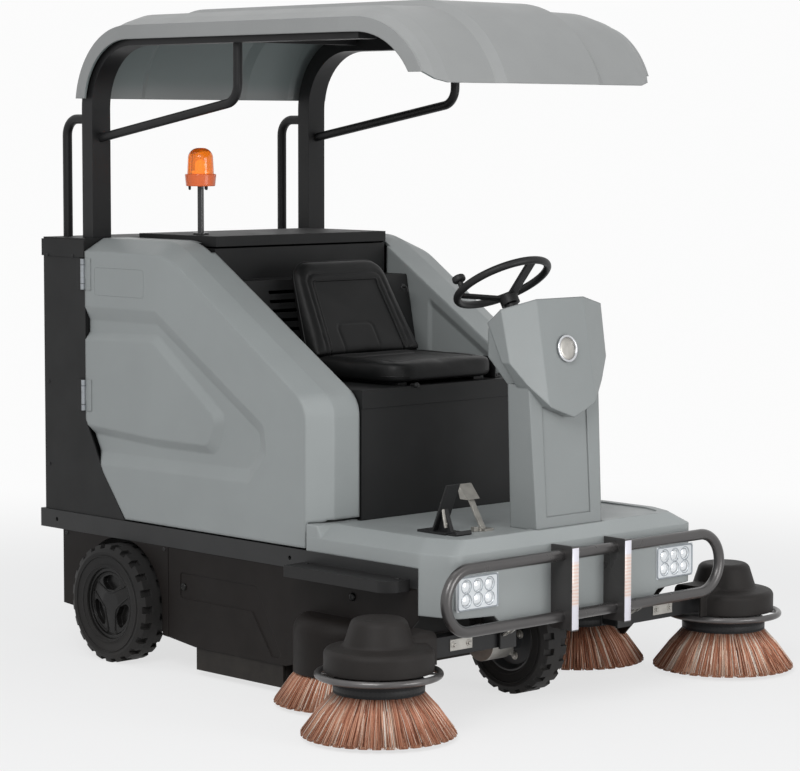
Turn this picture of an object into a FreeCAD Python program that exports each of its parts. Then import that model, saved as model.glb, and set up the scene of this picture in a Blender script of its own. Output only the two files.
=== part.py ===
import FreeCAD, Part
import math
import os
from FreeCAD import Vector

os.makedirs("parts", exist_ok=True)

# Three-wheel ride-on sweeper: forward is -Y, the driver's left is +X, the ground is z = 0.

# Overall sizes
overall_length = 2150.0
overall_height = 2150.0
body_half_width = 570.0

# General fits and wall sizes
seat_gap = 0.2
pin_clearance = 0.06
moving_gap = 6.0
sheet = 6.0
moulding = 8.0
overrun = 40.0
half_turn = 180.0
full_turn = 360.0

# Chassis rails
rail_half_width = body_half_width
rail_width = 60.0
rail_bottom = 404.0
rail_top = 466.0
rail_inner = rail_half_width - rail_width
rail_front = -800.0
rail_rear = 1050.0
cross_depth = 60.0
seat_cross_front = -346.0
bulkhead_cross_front = 300.0
floor_thickness = 8.0
tie_hole_radius = 7.0
tie_hole_front = -230.0
tie_hole_rear = 960.0

# Rear wheels and axle
rear_wheel_y = 610.0
rear_wheel_radius = 195.0
rear_wheel_proud = 65.0
rear_wheel_outer = body_half_width + rear_wheel_proud
rear_tyre_width = 112.0
wheel_wall_half = 205.0
wheel_wall_bottom = 330.0
rear_rim_radius = 118.0
rim_pocket_inner_share = 0.42
rim_pocket_outer_share = 0.82
rim_pocket_inner_turn = 24.0
rim_pocket_outer_turn = 38.0
rim_pocket_depth = 16.0
rim_pocket_rounds = (10.0, 14.0, 60.0)
rim_lip = 12.0
rim_cap_set = 8.0
axle_radius = 20.0
axle_beam_radius = 28.0
hanger_wheel_gap = 41.0
hanger_outer = rear_wheel_outer - rear_tyre_width - hanger_wheel_gap
hanger_thickness = 12.0
hanger_half_width = 70.0

# Front wheel and fork
front_wheel_y = -655.0
front_wheel_radius = 176.0
front_tyre_width = 104.0
front_rim_radius = 104.0
fork_gap = 9.0
fork_plate = 10.0
fork_half_depth = 45.0
crown_gap = 10.0
crown_thickness = 16.0
kingpin_radius = 24.0
motor_radius = 58.0
motor_length = 92.0
head_half_depth = 78.0
head_bottom = 424.0

# Tyre form
lug_depth = 13.0
lug_count = 22
groove_share = 0.42
groove_reach_share = 0.36
tyre_shoulder = 12.0
bead_gap = 0.02

# Front deck moulding
deck_rear = -307.0
deck_corner_y = -803.0
deck_front = -916.0
deck_corner_inset = 45.0
deck_front_half = body_half_width - deck_corner_inset
deck_floor = 545.0
deck_border = 4.0
deck_border_width = 30.0
deck_shoulder = 510.0
deck_shoulder_width = 62.0
deck_front_shoulder = 34.0
deck_apron_bottom = 291.0
deck_corner_bottom = 316.0
deck_notch_half = 340.0
deck_notch_run = 26.0

# Side pods that open as doors
door_front = -346.0
door_rear = 795.0
door_bottom = 472.0
door_top = 1390.0
core_half = 378.0
door_inner = core_half + moving_gap
door_face = body_half_width
door_bevel_share = 0.43
door_bevel_start = door_face - (door_face - door_inner) * door_bevel_share
door_floor_gap = 6.0
door_sill_gap = 8.0
door_edge_shares = [(1.0, 1.0), (0.656, 1.0), (0.0, 0.491), (0.0, 0.0), (0.818, 0.0),
                    (0.919, 0.158), (1.0, 0.345)]
door_face_shares = [(1.0, 0.954), (0.623, 0.954), (0.0394, 0.481), (0.0394, 0.0), (0.818, 0.0),
                    (0.919, 0.158), (1.0, 0.345)]
door_top_radius = 230.0
door_nose_radius = 90.0
channel_depth = 20.0
channel_wall_run = 44.0
island_wall_run = 28.0
channel_outer_shares = [(1.06, 0.755), (0.675, 0.755), (0.206, 0.395), (0.197, 0.297), (0.273, 0.19),
                        (1.06, 0.184)]
channel_island_shares = [(1.05, 0.631), (0.692, 0.643), (0.414, 0.399), (0.443, 0.303), (0.68, 0.304),
                         (1.05, 0.33)]
channel_radius = 40.0

# Hinges
hinge_radius = 7.0
hinge_pin_radius = 3.0
hinge_end_gap = 0.5
hinge_leaf = 34.0
hinge_leaf_thickness = 3.0
door_hinge_length = 104.0
door_hinge_low = 817.0
door_hinge_high = 1220.0
door_hinge_y = 797.5
rear_hinge_offset = 18.0
rear_hinge_length = 84.0
rear_hinge_low = 560.0
rear_hinge_high = 1150.0
cover_hinge_x = 210.0
cover_hinge_length = 84.0
cover_hinge_back = 12.0
cover_hinge_rise = 13.0
cover_strip = 66.0

# Rear housing, its cover and its rear door
housing_front = 800.0
housing_rear = 1028.0
housing_inset = 5.0
housing_half = body_half_width - housing_inset
housing_top = 1390.0
core_front = 350.0
ledge_height = 1262.0
ledge_front = 241.0
bulkhead_foot_y = 177.0
bulkhead_foot = 952.0
fascia_top = 1365.0
cap_bottom = 1327.0
cap_out = 5.0
cheek_gap = 8.0
louvre_count = 7
louvre_half_width = 250.0
louvre_pitch = 31.0
louvre_height = 11.0
louvre_top_offset = 46.0
cover_top = 1405.0
cover_rear = 745.0
cover_bottom = 1371.0
rear_door_inset = 45.0
rear_door_half = housing_half - rear_door_inset
rear_door_bottom = 482.0
rear_door_top = 1312.0
rear_door_thickness = 20.0
rear_door_gap = 1.0
door_lap = 24.0
handle_half = 70.0
handle_height = 900.0
handle_side = 430.0
handle_radius = 9.0

# Seat base and seat
base_front = -350.0
base_rear = 171.0
base_lid_line = 892.0
base_top = 950.0
base_lid_out = 3.0
battery_half_width = 260.0
battery_front = -250.0
battery_length = 360.0
battery_height = 260.0
seat_half = 240.0
seat_front = -352.0
seat_rear = 62.0
cushion_bottom = 960.0
cushion_top = 1026.0
cushion_radius = 60.0
back_foot_y = 42.0
back_foot = 1000.0
back_top = 1312.0
back_lean = 105.0
back_thickness = 66.0
back_top_half = 196.0
back_radius = 70.0
back_bulge_front = -4.0
back_bulge_top = 1100.0
back_bulge_bend = 120.0
back_edge_round = 22.0
runner_half = 150.0
runner_width = 36.0

# Console, steering wheel and pedals
console_half = 145.0
console_front = -876.0
console_back = -765.0
column_top = 985.0
column_top_half = 156.0
column_top_front = -848.0
column_top_back = -762.0
shield_peak = 1243.0
shield_peak_y = -830.0
shield_tip = 881.0
shield_half = 223.0
shield_panel_half = 104.0
shield_slope = 0.178
shield_sweep = 40.0
shield_outline_shares = [(-1.0, 0.928), (-0.466, 1.0), (0.466, 1.0), (1.0, 0.928), (0.964, 0.475),
                         (0.74, 0.287), (0.435, 0.099), (0.0, 0.0), (-0.435, 0.099), (-0.74, 0.287),
                         (-0.964, 0.475)]
shield_rear_top_y = -738.0
shield_rear_top = 1171.0
shield_rear_mid_y = -798.0
shield_rear_mid = 1043.0
shield_rear_low_y = -810.0
dash_half = 118.0
dash_front_y = -815.0
dash_top = 1190.0
dash_rear_y = -640.0
dash_rear_top = 1146.0
dash_rear_low = 1058.0
dash_foot_y = -775.0
dash_foot = 930.0
panel_half = 98.0
panel_depth = 4.0
panel_foot = 36.0
steer_tilt = 30.0
steer_y = -585.0
steer_z = 1279.0
steer_outer_radius = 162.0
steer_rim_radius = 12.0
steer_dish = 52.0
steer_hub_radius = 30.0
steer_hub_height = 24.0
steer_knob_radius = 21.0
steer_knob_stem = 9.0
steer_knob_height = 22.0
steer_knob_rise = 12.0
steer_knob_round = 8.0
steer_knob_turn = 12.0
steer_spoke_half = 4.5
steer_spoke_widths = (34.0, 24.0, 24.0)
steer_stub_radius = 11.0
steer_stub_length = 40.0
column_radius = 21.0
column_length = 130.0
foot_room = rail_half_width - deck_shoulder_width - deck_border_width - console_half
pedal_place_share = 0.720721
pedal_x = -console_half - foot_room * pedal_place_share
pedal_y = -700.0
pedal_half = 34.0
pedal_height = 150.0
pedal_lean = 62.0
pedal_plate = 7.0
pedal_base_length = 120.0
lever_place_share = 0.321321
lever_x = -console_half - foot_room * lever_place_share
lever_y = -760.0
lever_width = 20.0
lever_height = 112.0
lever_lean = 70.0
lever_pad_half = 28.0
lever_pad_length = 44.0

# Canopy frame
post_inset = 50.0
post_width = 76.0
post_outer = body_half_width - post_inset
post_inner = post_outer - post_width
post_rear = 869.0
post_depth = 56.0
roof_rail_drop = 70.0
roof_rail_top = overall_height - roof_rail_drop
roof_rail_front = -486.0
post_rise = roof_rail_top - post_depth - housing_top
canopy_rear_y = 609.0
post_straight = post_rise + post_depth - post_rear + canopy_rear_y
brace_x = (post_inner + post_outer) / 2
brace_radius = 15.0
brace_foot_share = 0.772595
brace_foot = housing_top + post_straight * brace_foot_share
brace_bend_y = 112.0
brace_bend_share = 0.713
brace_bend_z = housing_top + post_rise * brace_bend_share
brace_bend_radius = 60.0
grab_y = 1000.0
grab_x = brace_x
grab_rise_share = 0.918563
grab_top = housing_top + post_straight * grab_rise_share
grab_radius = 16.0
grab_bend = 55.0
crossbar_depth = 36.0
crossbar_front_y = -432.0
crossbar_bend_gap = 9.0

# Canopy shell
canopy_inset = 30.0
canopy_half = body_half_width - canopy_inset
canopy_skin = 9.0
canopy_rim = 9.0
canopy_ridge_half = 205.0
canopy_ridge_run = 30.0
canopy_ridge_drop = 20.0
canopy_bevel_run = 115.0
canopy_bevel_half = canopy_half - canopy_bevel_run
canopy_bevel_start_drop = 24.0
canopy_shoulder_run = 62.0
canopy_shoulder_half = canopy_half - canopy_shoulder_run
canopy_shoulder_drop = 40.0
canopy_bevel_drop = 61.0
canopy_skirt_drop = 106.0
canopy_split_y = -420.0
canopy_front_run = 20.0
canopy_front_radius = 385.0
canopy_front_fall = 259.0
canopy_shoulder_front_run = 42.0
canopy_shoulder_front_radius = 365.0
canopy_shoulder_front_fall = 249.0
canopy_shoulder_turn = 1.8
canopy_side_front_run = 64.0
canopy_side_front_radius = 342.0
canopy_side_front_fall = 228.0
canopy_side_turn = 6.7
canopy_rear_radius = 330.0
canopy_rear_fall = 297.0
canopy_rear_lip = overall_height - canopy_rear_fall

# Beacon
beacon_x = -310.0
beacon_y = 505.0
beacon_pole_radius = 10.5
beacon_foot_radius = 26.0
beacon_foot_height = 6.0
beacon_base_bottom = 1565.0
beacon_base_radius = 48.0
beacon_collar_radius = 52.0
beacon_collar_top = 1605.0
beacon_collar_round = 3.0
beacon_dome_radius = 44.0
beacon_dome_top_radius = 40.0
beacon_dome_round = 34.0
beacon_dome_top = 1691.0

# Bumper
bumper_y = -960.0
bumper_radius = 17.0
bumper_top = 495.0
bumper_bottom = 275.0
bumper_proud = 58.0
bumper_reach = body_half_width + bumper_proud
bumper_plate_x = 118.0
bumper_plate_half = 5.0
bumper_plate_top = 508.0
bumper_plate_bottom = 252.0
bumper_plate_front = -1006.0
bumper_flat_half = 15.0
bumper_flat_thickness = 6.0

# Headlamps
lamp_inset = 84.0
lamp_x = deck_front_half - lamp_inset
lamp_z = 396.0
lamp_width = 160.0
lamp_height = 92.0
lamp_bezel = 5.0
lamp_bezel_out = 5.0
lamp_depth = 34.0
lamp_fit = 1.0
lamp_columns = 3
lamp_rows = 2
cup_radius = 20.0
cup_floor_radius = 8.0
cup_depth = 16.0
cup_pitch_x = 48.0
cup_pitch_z = 42.0

# Steps, skirts and arch plates
step_front = -765.0
step_rear = -300.0
step_out = 90.0
step_top = 430.0
step_bottom = 395.0
step_radius = 45.0
skirt_thickness = 6.0
skirt_inset = 1.0
skirt_face = rail_half_width - skirt_inset
skirt_front = -800.0
skirt_rear = 364.0
skirt_rear_bottom = 109.0
skirt_front_bottom = 312.0
skirt_low_rear = 231.0
skirt_low_front = -208.0
skirt_low_bottom = 93.0
skirt_cut_y = -256.0
skirt_cut_z = 106.0
emboss_depth = 3.0
emboss_top = 328.0
emboss_bottom = 244.0
emboss_rear = 305.0
emboss_knee = -70.0
emboss_inner_knee = -49.0
emboss_foot_front = -191.0
emboss_foot_rear = -143.0
emboss_foot = 112.0
emboss_round = 12.0
bulge_radius = 168.0
bulge_top = 282.0
bulge_round = 50.0
arch_rear = 925.0
arch_bottom = 155.0
arch_front_bottom = 109.0
arch_radius = 214.0
flap_thickness = 7.0
flap_bottom = 20.0
flap_top = 112.0
flap_front_y = -190.0
chamber_sheet = 4.0

# Side brushes
outer_brush_reach = 202.0
outer_brush_x = body_half_width + outer_brush_reach
outer_brush_y = -847.0
inner_brush_inset = 59.0
inner_brush_x = body_half_width - inner_brush_inset
inner_brush_y = -431.0
tip_radius = 228.0
overall_width = (outer_brush_x + tip_radius) * 2
tip_height = 12.0
tip_thickness = 46.0
root_radius = 122.0
root_inner_radius = 92.0
root_height = 140.0
disc_radius = 134.0
disc_top = 170.0
tuft_count = 36
tuft_notch = 9.0
shaft_radius = 16.0
shaft_rise = 42.0
cover_skin = 6.0
cover_bottom_z = 197.0
cover_shoulder_z = 262.0
cover_radius = 161.0
crown_base_radius = 104.0
crown_base_rise = 10.0
crown_foot_round = 14.0
crown_radius = 79.0
crown_top = 350.0
crown_round = 24.0
shoulder_round = 18.0
horn_half = 56.0
horn_reach = 180.0
horn_top = 294.0
horn_round = 24.0
guard_z = 187.0
guard_ring_radius = 178.0
guard_tube_radius = 10.0
guard_lug_count = 4
guard_lug_half = 6.0

# Arms that carry the outer brushes
arm_half = 30.0
arm_bottom = 205.0
arm_inner = 232.0
arm_end_inset = 112.0
arm_outer = outer_brush_x - arm_end_inset
arm_y = -835.0
arm_pivot_x = 262.0
arm_pin_radius = 10.0
arm_bearing_half = 26.0
bracket_gap = 4.0
bracket_plate = 8.0
bracket_half = 34.0
motor_can_radius = 44.0
motor_can_bottom = 214.0
carrier_bottom = 236.0
chain_link_count = 3
chain_wire = 2.6
chain_bite = 0.8
chain_end_gap = 2.2
chain_link_half = 6.0
chain_x = 284.0
chain_drop = 34.0

# Inner brush drives
drive_radius = 52.0
drive_bottom = 184.0
drive_top = 300.0
drive_plate_half = 64.0

# Main roller brush
roller_y = 15.0
roller_radius = 150.0
roller_z = 164.0
roller_core_radius = 62.0
roller_rows = 10
roller_row_share = 0.5
roller_plate_inset = 10.0
roller_plate_x = rail_inner - roller_plate_inset
roller_end_gap = 12.0
roller_half_length = roller_plate_x - roller_end_gap
roller_pin_radius = 18.0
roller_plate_half = 70.0


def at(x, y, z):
    return Vector(x, y, z)


def box(x0, x1, y0, y1, z0, z1):
    return Part.makeBox(x1 - x0, y1 - y0, z1 - z0, at(x0, y0, z0))


def rod(start, end, radius):
    axis = end - start
    return Part.makeCylinder(radius, axis.Length, start, axis)


def joined(shapes):
    solid = shapes[0]
    if len(shapes) > 1:
        solid = solid.fuse(shapes[1:])
    return solid.removeSplitter()


def mirrored(shape):
    return shape.mirror(at(0, 0, 0), at(1, 0, 0))


def pair(shape):
    return Part.makeCompound([shape, mirrored(shape)])


def in_xy(level):
    return lambda u, v: at(u, v, level)


def in_yz(level):
    return lambda u, v: at(level, u, v)


def in_xz(level):
    return lambda u, v: at(u, level, v)


def outline(points, place, radii=None):
    """Closed wire through the points with each corner rounded by its radius."""
    count = len(points)
    flat = [Vector(u, v, 0) for u, v in points]
    radii = radii or [0] * count
    starts, ends, arcs = [], [], []
    for i in range(count):
        corner = flat[i]
        back = (flat[i - 1] - corner).normalize()
        ahead = (flat[(i + 1) % count] - corner).normalize()
        if radii[i] > 0:
            half = back.getAngle(ahead) / 2
            run = radii[i] / math.tan(half)
            centre = corner + (back + ahead).normalize() * (radii[i] / math.sin(half))
            first = corner + back * run
            last = corner + ahead * run
            middle = centre + (corner - centre).normalize() * radii[i]
            starts.append(first)
            ends.append(last)
            arcs.append(middle)
        else:
            starts.append(corner)
            ends.append(corner)
            arcs.append(None)
    edges = []
    for i in range(count):
        if arcs[i] is not None:
            edges.append(Part.Arc(place(starts[i].x, starts[i].y), place(arcs[i].x, arcs[i].y),
                                  place(ends[i].x, ends[i].y)).toShape())
        after = starts[(i + 1) % count]
        if (after - ends[i]).Length > seat_gap:
            edges.append(Part.makeLine(place(ends[i].x, ends[i].y), place(after.x, after.y)))
    return Part.Wire(edges)


def prism(wire, direction):
    return Part.Face(wire).extrude(direction)


def prism_x(points, x0, x1, radii=None):
    return prism(outline(points, in_yz(x0), radii), at(x1 - x0, 0, 0))


def prism_y(points, y0, y1, radii=None):
    return prism(outline(points, in_xz(y0), radii), at(0, y1 - y0, 0))


def prism_z(points, z0, z1, radii=None):
    return prism(outline(points, in_xy(z0), radii), at(0, 0, z1 - z0))


def inset(points, distance):
    """Polygon with every side moved inward by the distance."""
    count = len(points)
    turn = sum(points[i - 1][0] * points[i][1] - points[i][0] * points[i - 1][1] for i in range(count))
    sign = 1 if turn > 0 else -1
    lines = []
    for i in range(count):
        u0, v0 = points[i]
        u1, v1 = points[(i + 1) % count]
        length = math.hypot(u1 - u0, v1 - v0)
        nu = -(v1 - v0) / length * sign
        nv = (u1 - u0) / length * sign
        lines.append((nu, nv, nu * u0 + nv * v0 + distance))
    moved = []
    for i in range(count):
        a0, b0, c0 = lines[i - 1]
        a1, b1, c1 = lines[i]
        det = a0 * b1 - a1 * b0
        moved.append(((c0 * b1 - c1 * b0) / det, (a0 * c1 - a1 * c0) / det))
    return moved


def tube(points, bend, radius):
    """Round bar along the points with every inner corner bent."""
    edges = []
    start = points[0]
    for i in range(1, len(points) - 1):
        corner = points[i]
        back = (points[i - 1] - corner).normalize()
        ahead = (points[i + 1] - corner).normalize()
        half = back.getAngle(ahead) / 2
        run = bend / math.tan(half)
        centre = corner + (back + ahead).normalize() * (bend / math.sin(half))
        first = corner + back * run
        last = corner + ahead * run
        middle = centre + (corner - centre).normalize() * bend
        edges.append(Part.makeLine(start, first))
        edges.append(Part.Arc(first, middle, last).toShape())
        start = last
    edges.append(Part.makeLine(start, points[-1]))
    path = Part.Wire(edges)
    section = Part.Wire(Part.makeCircle(radius, points[0], points[1] - points[0]))
    return path.makePipeShell([section], True, False)


def spun(points, centre, axis, radii=None):
    """Solid of revolution of (radius, height) points about the axis through the centre."""
    side = at(1, 0, 0) if abs(axis.x) < abs(axis.z) else at(0, 1, 0)
    place = lambda u, v: centre + side * u + axis * v
    face = Part.Face(outline(points, place, radii))
    return face.revolve(centre, axis, full_turn)


def hinge_barrels(start, direction, length, radius, pin_radius):
    """Fixed end barrels with their pin, and the bored middle barrel of the moving leaf."""
    third = length / 3
    along = lambda distance: start + direction * distance
    pin = rod(start, along(length), pin_radius)
    fixed = joined([pin, rod(start, along(third - hinge_end_gap), radius),
                    rod(along(third * 2 + hinge_end_gap), along(length), radius)])
    moving = rod(along(third), along(third * 2), radius)
    return fixed, moving.cut(rod(start, along(length), pin_radius + pin_clearance))


def hinge_room(start, direction, length, radius, middle):
    """Space round the middle barrel, or round the two end barrels, that a leaf leaves free."""
    third = length / 3
    along = lambda distance: start + direction * distance
    room = radius + hinge_end_gap
    if middle:
        return [rod(along(third - hinge_end_gap), along(third * 2 + hinge_end_gap), room)]
    return [rod(start, along(third), room), rod(along(third * 2), along(length), room)]


# Chassis


def chassis_frame():
    rail = box(rail_inner, rail_half_width, rail_front, rail_rear, rail_bottom, rail_top)
    holes = [rod(at(rail_inner - sheet, y, (rail_bottom + rail_top) / 2),
                 at(rail_half_width + sheet, y, (rail_bottom + rail_top) / 2), tie_hole_radius)
             for y in (tie_hole_front, tie_hole_rear)]
    rail = rail.cut(Part.makeCompound(holes))
    crosses = []
    for front in (rail_front, seat_cross_front, bulkhead_cross_front, rail_rear - cross_depth):
        crosses.append(box(-rail_inner, rail_inner, front, front + cross_depth, rail_bottom, rail_top))
    floor = box(-rail_inner, rail_inner, seat_cross_front, rail_rear, rail_top - floor_thickness, rail_top)
    head = box(-rail_inner, rail_inner, front_wheel_y - head_half_depth, front_wheel_y + head_half_depth,
               head_bottom, rail_top)
    bore = rod(at(0, front_wheel_y, head_bottom - overrun), at(0, front_wheel_y, rail_top + overrun),
               kingpin_radius + pin_clearance)
    hanger = box(hanger_outer - hanger_thickness, hanger_outer, rear_wheel_y - hanger_half_width,
                 rear_wheel_y + hanger_half_width, rear_wheel_radius - hanger_half_width / 2,
                 rail_bottom + cross_depth / 2)
    hanger_beam = box(hanger_outer - hanger_thickness, rail_inner, rear_wheel_y - wheel_wall_half,
                      rear_wheel_y + wheel_wall_half, rail_bottom, rail_bottom + cross_depth / 2)
    wheel_wall = box(hanger_outer - hanger_thickness, hanger_outer, rear_wheel_y - wheel_wall_half,
                     rear_wheel_y + wheel_wall_half, wheel_wall_bottom, rail_bottom + cross_depth / 2)
    skirt_back = skirt_face - skirt_thickness - seat_gap
    roller_plate = box(roller_plate_x, roller_plate_x + sheet, roller_y - roller_plate_half,
                       roller_y + roller_plate_half, roller_z - roller_plate_half, rail_bottom)
    roller_foot = box(roller_plate_x, skirt_back, roller_y - roller_plate_half,
                      roller_y + roller_plate_half, rail_bottom - sheet, rail_bottom)
    roller_pin = rod(at(roller_half_length - overrun, roller_y, roller_z),
                     at(roller_plate_x + sheet, roller_y, roller_z), roller_pin_radius)
    side = joined([rail, hanger, hanger_beam, wheel_wall, roller_plate, roller_foot, roller_pin])
    inner_top = box(inner_brush_x - drive_plate_half, skirt_back, inner_brush_y - drive_plate_half,
                    inner_brush_y + drive_plate_half, rail_bottom - sheet, rail_bottom)
    inner_leg = box(inner_brush_x - drive_plate_half, inner_brush_x - drive_plate_half + sheet,
                    inner_brush_y - drive_plate_half, inner_brush_y + drive_plate_half,
                    drive_top, rail_bottom)
    inner_shelf = box(inner_brush_x - drive_plate_half, inner_brush_x + drive_radius,
                      inner_brush_y - drive_plate_half, inner_brush_y + drive_plate_half,
                      drive_top, drive_top + sheet)
    drive = rod(at(inner_brush_x, inner_brush_y, drive_bottom), at(inner_brush_x, inner_brush_y, drive_top),
                drive_radius)
    drive = drive.cut(rod(at(inner_brush_x, inner_brush_y, drive_bottom - overrun),
                          at(inner_brush_x, inner_brush_y, disc_top + shaft_rise + moving_gap * 2),
                          shaft_radius + pin_clearance))
    side = joined([side, inner_top, inner_leg, inner_shelf, drive, arm_bracket()])
    chamber_half = roller_plate_x + sheet
    flap_backs = (flap_front_y + flap_thickness + seat_gap, skirt_low_rear - flap_thickness - seat_gap - chamber_sheet)
    walls = [box(-chamber_half, chamber_half, y, y + chamber_sheet, skirt_low_bottom, rail_top - floor_thickness)
             for y in flap_backs]
    frame = joined([side, mirrored(side)] + crosses + walls + [floor, head])
    return frame.cut(bore)


def arm_bracket():
    plates = []
    for sign in (-1, 1):
        near = arm_y + sign * (arm_bearing_half + bracket_gap)
        far = near + sign * bracket_plate
        plates.append(box(arm_pivot_x - bracket_half, arm_pivot_x + bracket_half, min(near, far),
                          max(near, far), arm_bottom - bracket_gap, rail_bottom + sheet))
    front = arm_y - arm_bearing_half - bracket_gap - bracket_plate
    top = box(arm_pivot_x - bracket_half, arm_pivot_x + bracket_half, front, rail_front + sheet,
              rail_bottom, rail_bottom + floor_thickness)
    pin = rod(at(arm_pivot_x, front, arm_bottom + arm_half),
              at(arm_pivot_x, arm_y + arm_bearing_half + bracket_gap + bracket_plate, arm_bottom + arm_half),
              arm_pin_radius)
    return joined(plates + [top, pin])


def rear_axle():
    beam = rod(at(-hanger_outer + hanger_thickness + seat_gap, rear_wheel_y, rear_wheel_radius),
               at(hanger_outer - hanger_thickness - seat_gap, rear_wheel_y, rear_wheel_radius),
               axle_beam_radius)
    stub_end = rear_wheel_outer - rear_tyre_width * groove_share
    stub = rod(at(hanger_outer + seat_gap, rear_wheel_y, rear_wheel_radius),
               at(stub_end, rear_wheel_y, rear_wheel_radius), axle_radius)
    return Part.makeCompound([beam, stub, mirrored(stub)])


def tyre(centre, radius, width, rim_radius):
    """Solid tyre about the X axis, cut by two rows of shoulder grooves."""
    half = width / 2
    axis = at(1, 0, 0)
    inner = rim_radius + bead_gap
    points = [(inner, -half + tyre_shoulder), (radius - tyre_shoulder * 2, -half), (radius, -half + tyre_shoulder),
              (radius, half - tyre_shoulder), (radius - tyre_shoulder * 2, half), (inner, half - tyre_shoulder)]
    body = spun(points, centre, axis)
    pitch = full_turn / lug_count
    groove = radius * math.radians(pitch) * groove_share
    reach = width * groove_reach_share
    cuts = []
    for row, shift in ((-1, 0), (1, pitch / 2)):
        edge = row * (half + overrun)
        inside = row * (half - reach)
        low, high = min(edge, inside), max(edge, inside)
        for i in range(lug_count):
            cut = box(centre.x + low, centre.x + high, centre.y - groove / 2, centre.y + groove / 2,
                      centre.z + radius - lug_depth, centre.z + radius + overrun)
            cut.rotate(centre, axis, i * pitch + shift)
            cuts.append(cut)
    return body.cut(Part.makeCompound(cuts))


def rear_rim(centre, radius, width, out):
    """Wheel rim closed by a cap with three rounded pockets between its spokes."""
    axis = at(out, 0, 0)
    half = width / 2 - tyre_shoulder - sheet
    cap = half - rim_cap_set
    bore = axle_radius + pin_clearance
    points = [(bore, -half), (radius, -half), (radius, half), (radius - rim_lip, half), (radius - rim_lip, cap),
              (axle_radius * 2, half), (bore, half)]
    hub_cap = rod(centre + axis * (half - sheet), centre + axis * half, axle_radius * 2)
    body = joined([spun(points, centre, axis), hub_cap])
    inner_u, outer_u = radius * rim_pocket_inner_share, radius * rim_pocket_outer_share
    inner_turn, outer_turn = math.radians(rim_pocket_inner_turn), math.radians(rim_pocket_outer_turn)
    spots = [(inner_u, -inner_turn), (outer_u, -outer_turn), (outer_u, 0), (outer_u, outer_turn), (inner_u, inner_turn)]
    level = centre + axis * (cap - rim_pocket_depth)
    place = lambda u, v: level + at(0, v, u)
    small, large, wide = rim_pocket_rounds
    face = outline([(r * math.cos(t), r * math.sin(t)) for r, t in spots], place, [small, large, wide, large, small])
    pockets = []
    for i in range(3):
        pocket = prism(face, axis * overrun)
        pocket.rotate(centre, axis, i * full_turn / 3)
        pockets.append(pocket)
    return body.cut(Part.makeCompound(pockets))


def front_fork():
    top = front_wheel_radius * 2 + crown_gap
    half = front_tyre_width / 2 + fork_gap
    crown = box(-half - fork_plate, half + fork_plate, front_wheel_y - fork_half_depth,
                front_wheel_y + fork_half_depth, top, top + crown_thickness)
    legs = []
    for inner in (-half - fork_plate, half):
        legs.append(box(inner, inner + fork_plate, front_wheel_y - fork_half_depth,
                        front_wheel_y + fork_half_depth, front_wheel_radius - fork_half_depth, top))
    pin = rod(at(0, front_wheel_y, top), at(0, front_wheel_y, rail_top), kingpin_radius)
    collar = rod(at(0, front_wheel_y, top), at(0, front_wheel_y, head_bottom - sheet / 2),
                 kingpin_radius * 2)
    axle = rod(at(-half, front_wheel_y, front_wheel_radius), at(half, front_wheel_y, front_wheel_radius),
               axle_radius)
    motor = rod(at(-half - fork_plate - motor_length, front_wheel_y, front_wheel_radius),
                at(-half - fork_plate, front_wheel_y, front_wheel_radius), motor_radius)
    return joined([crown, pin, collar, axle, motor] + legs)


def front_rim(centre):
    axis = at(1, 0, 0)
    half = front_tyre_width / 2 - tyre_shoulder
    dish = half - sheet * 4
    points = [(axle_radius + pin_clearance, -half - sheet), (axle_radius * 2, -half - sheet), (axle_radius * 2, -dish),
              (front_rim_radius - sheet * 3, -dish), (front_rim_radius - sheet, -half),
              (front_rim_radius, -half), (front_rim_radius, half), (front_rim_radius - sheet, half),
              (front_rim_radius - sheet * 3, dish), (axle_radius * 2, dish), (axle_radius * 2, half + sheet),
              (axle_radius + pin_clearance, half + sheet)]
    return spun(points, centre, axis)


# Body


def deck_outline(shrink):
    corner = [(rail_half_width, deck_rear), (rail_half_width, deck_corner_y), (deck_front_half, deck_front),
              (-deck_front_half, deck_front), (-rail_half_width, deck_corner_y), (-rail_half_width, deck_rear)]
    return inset(corner, shrink)


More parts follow.
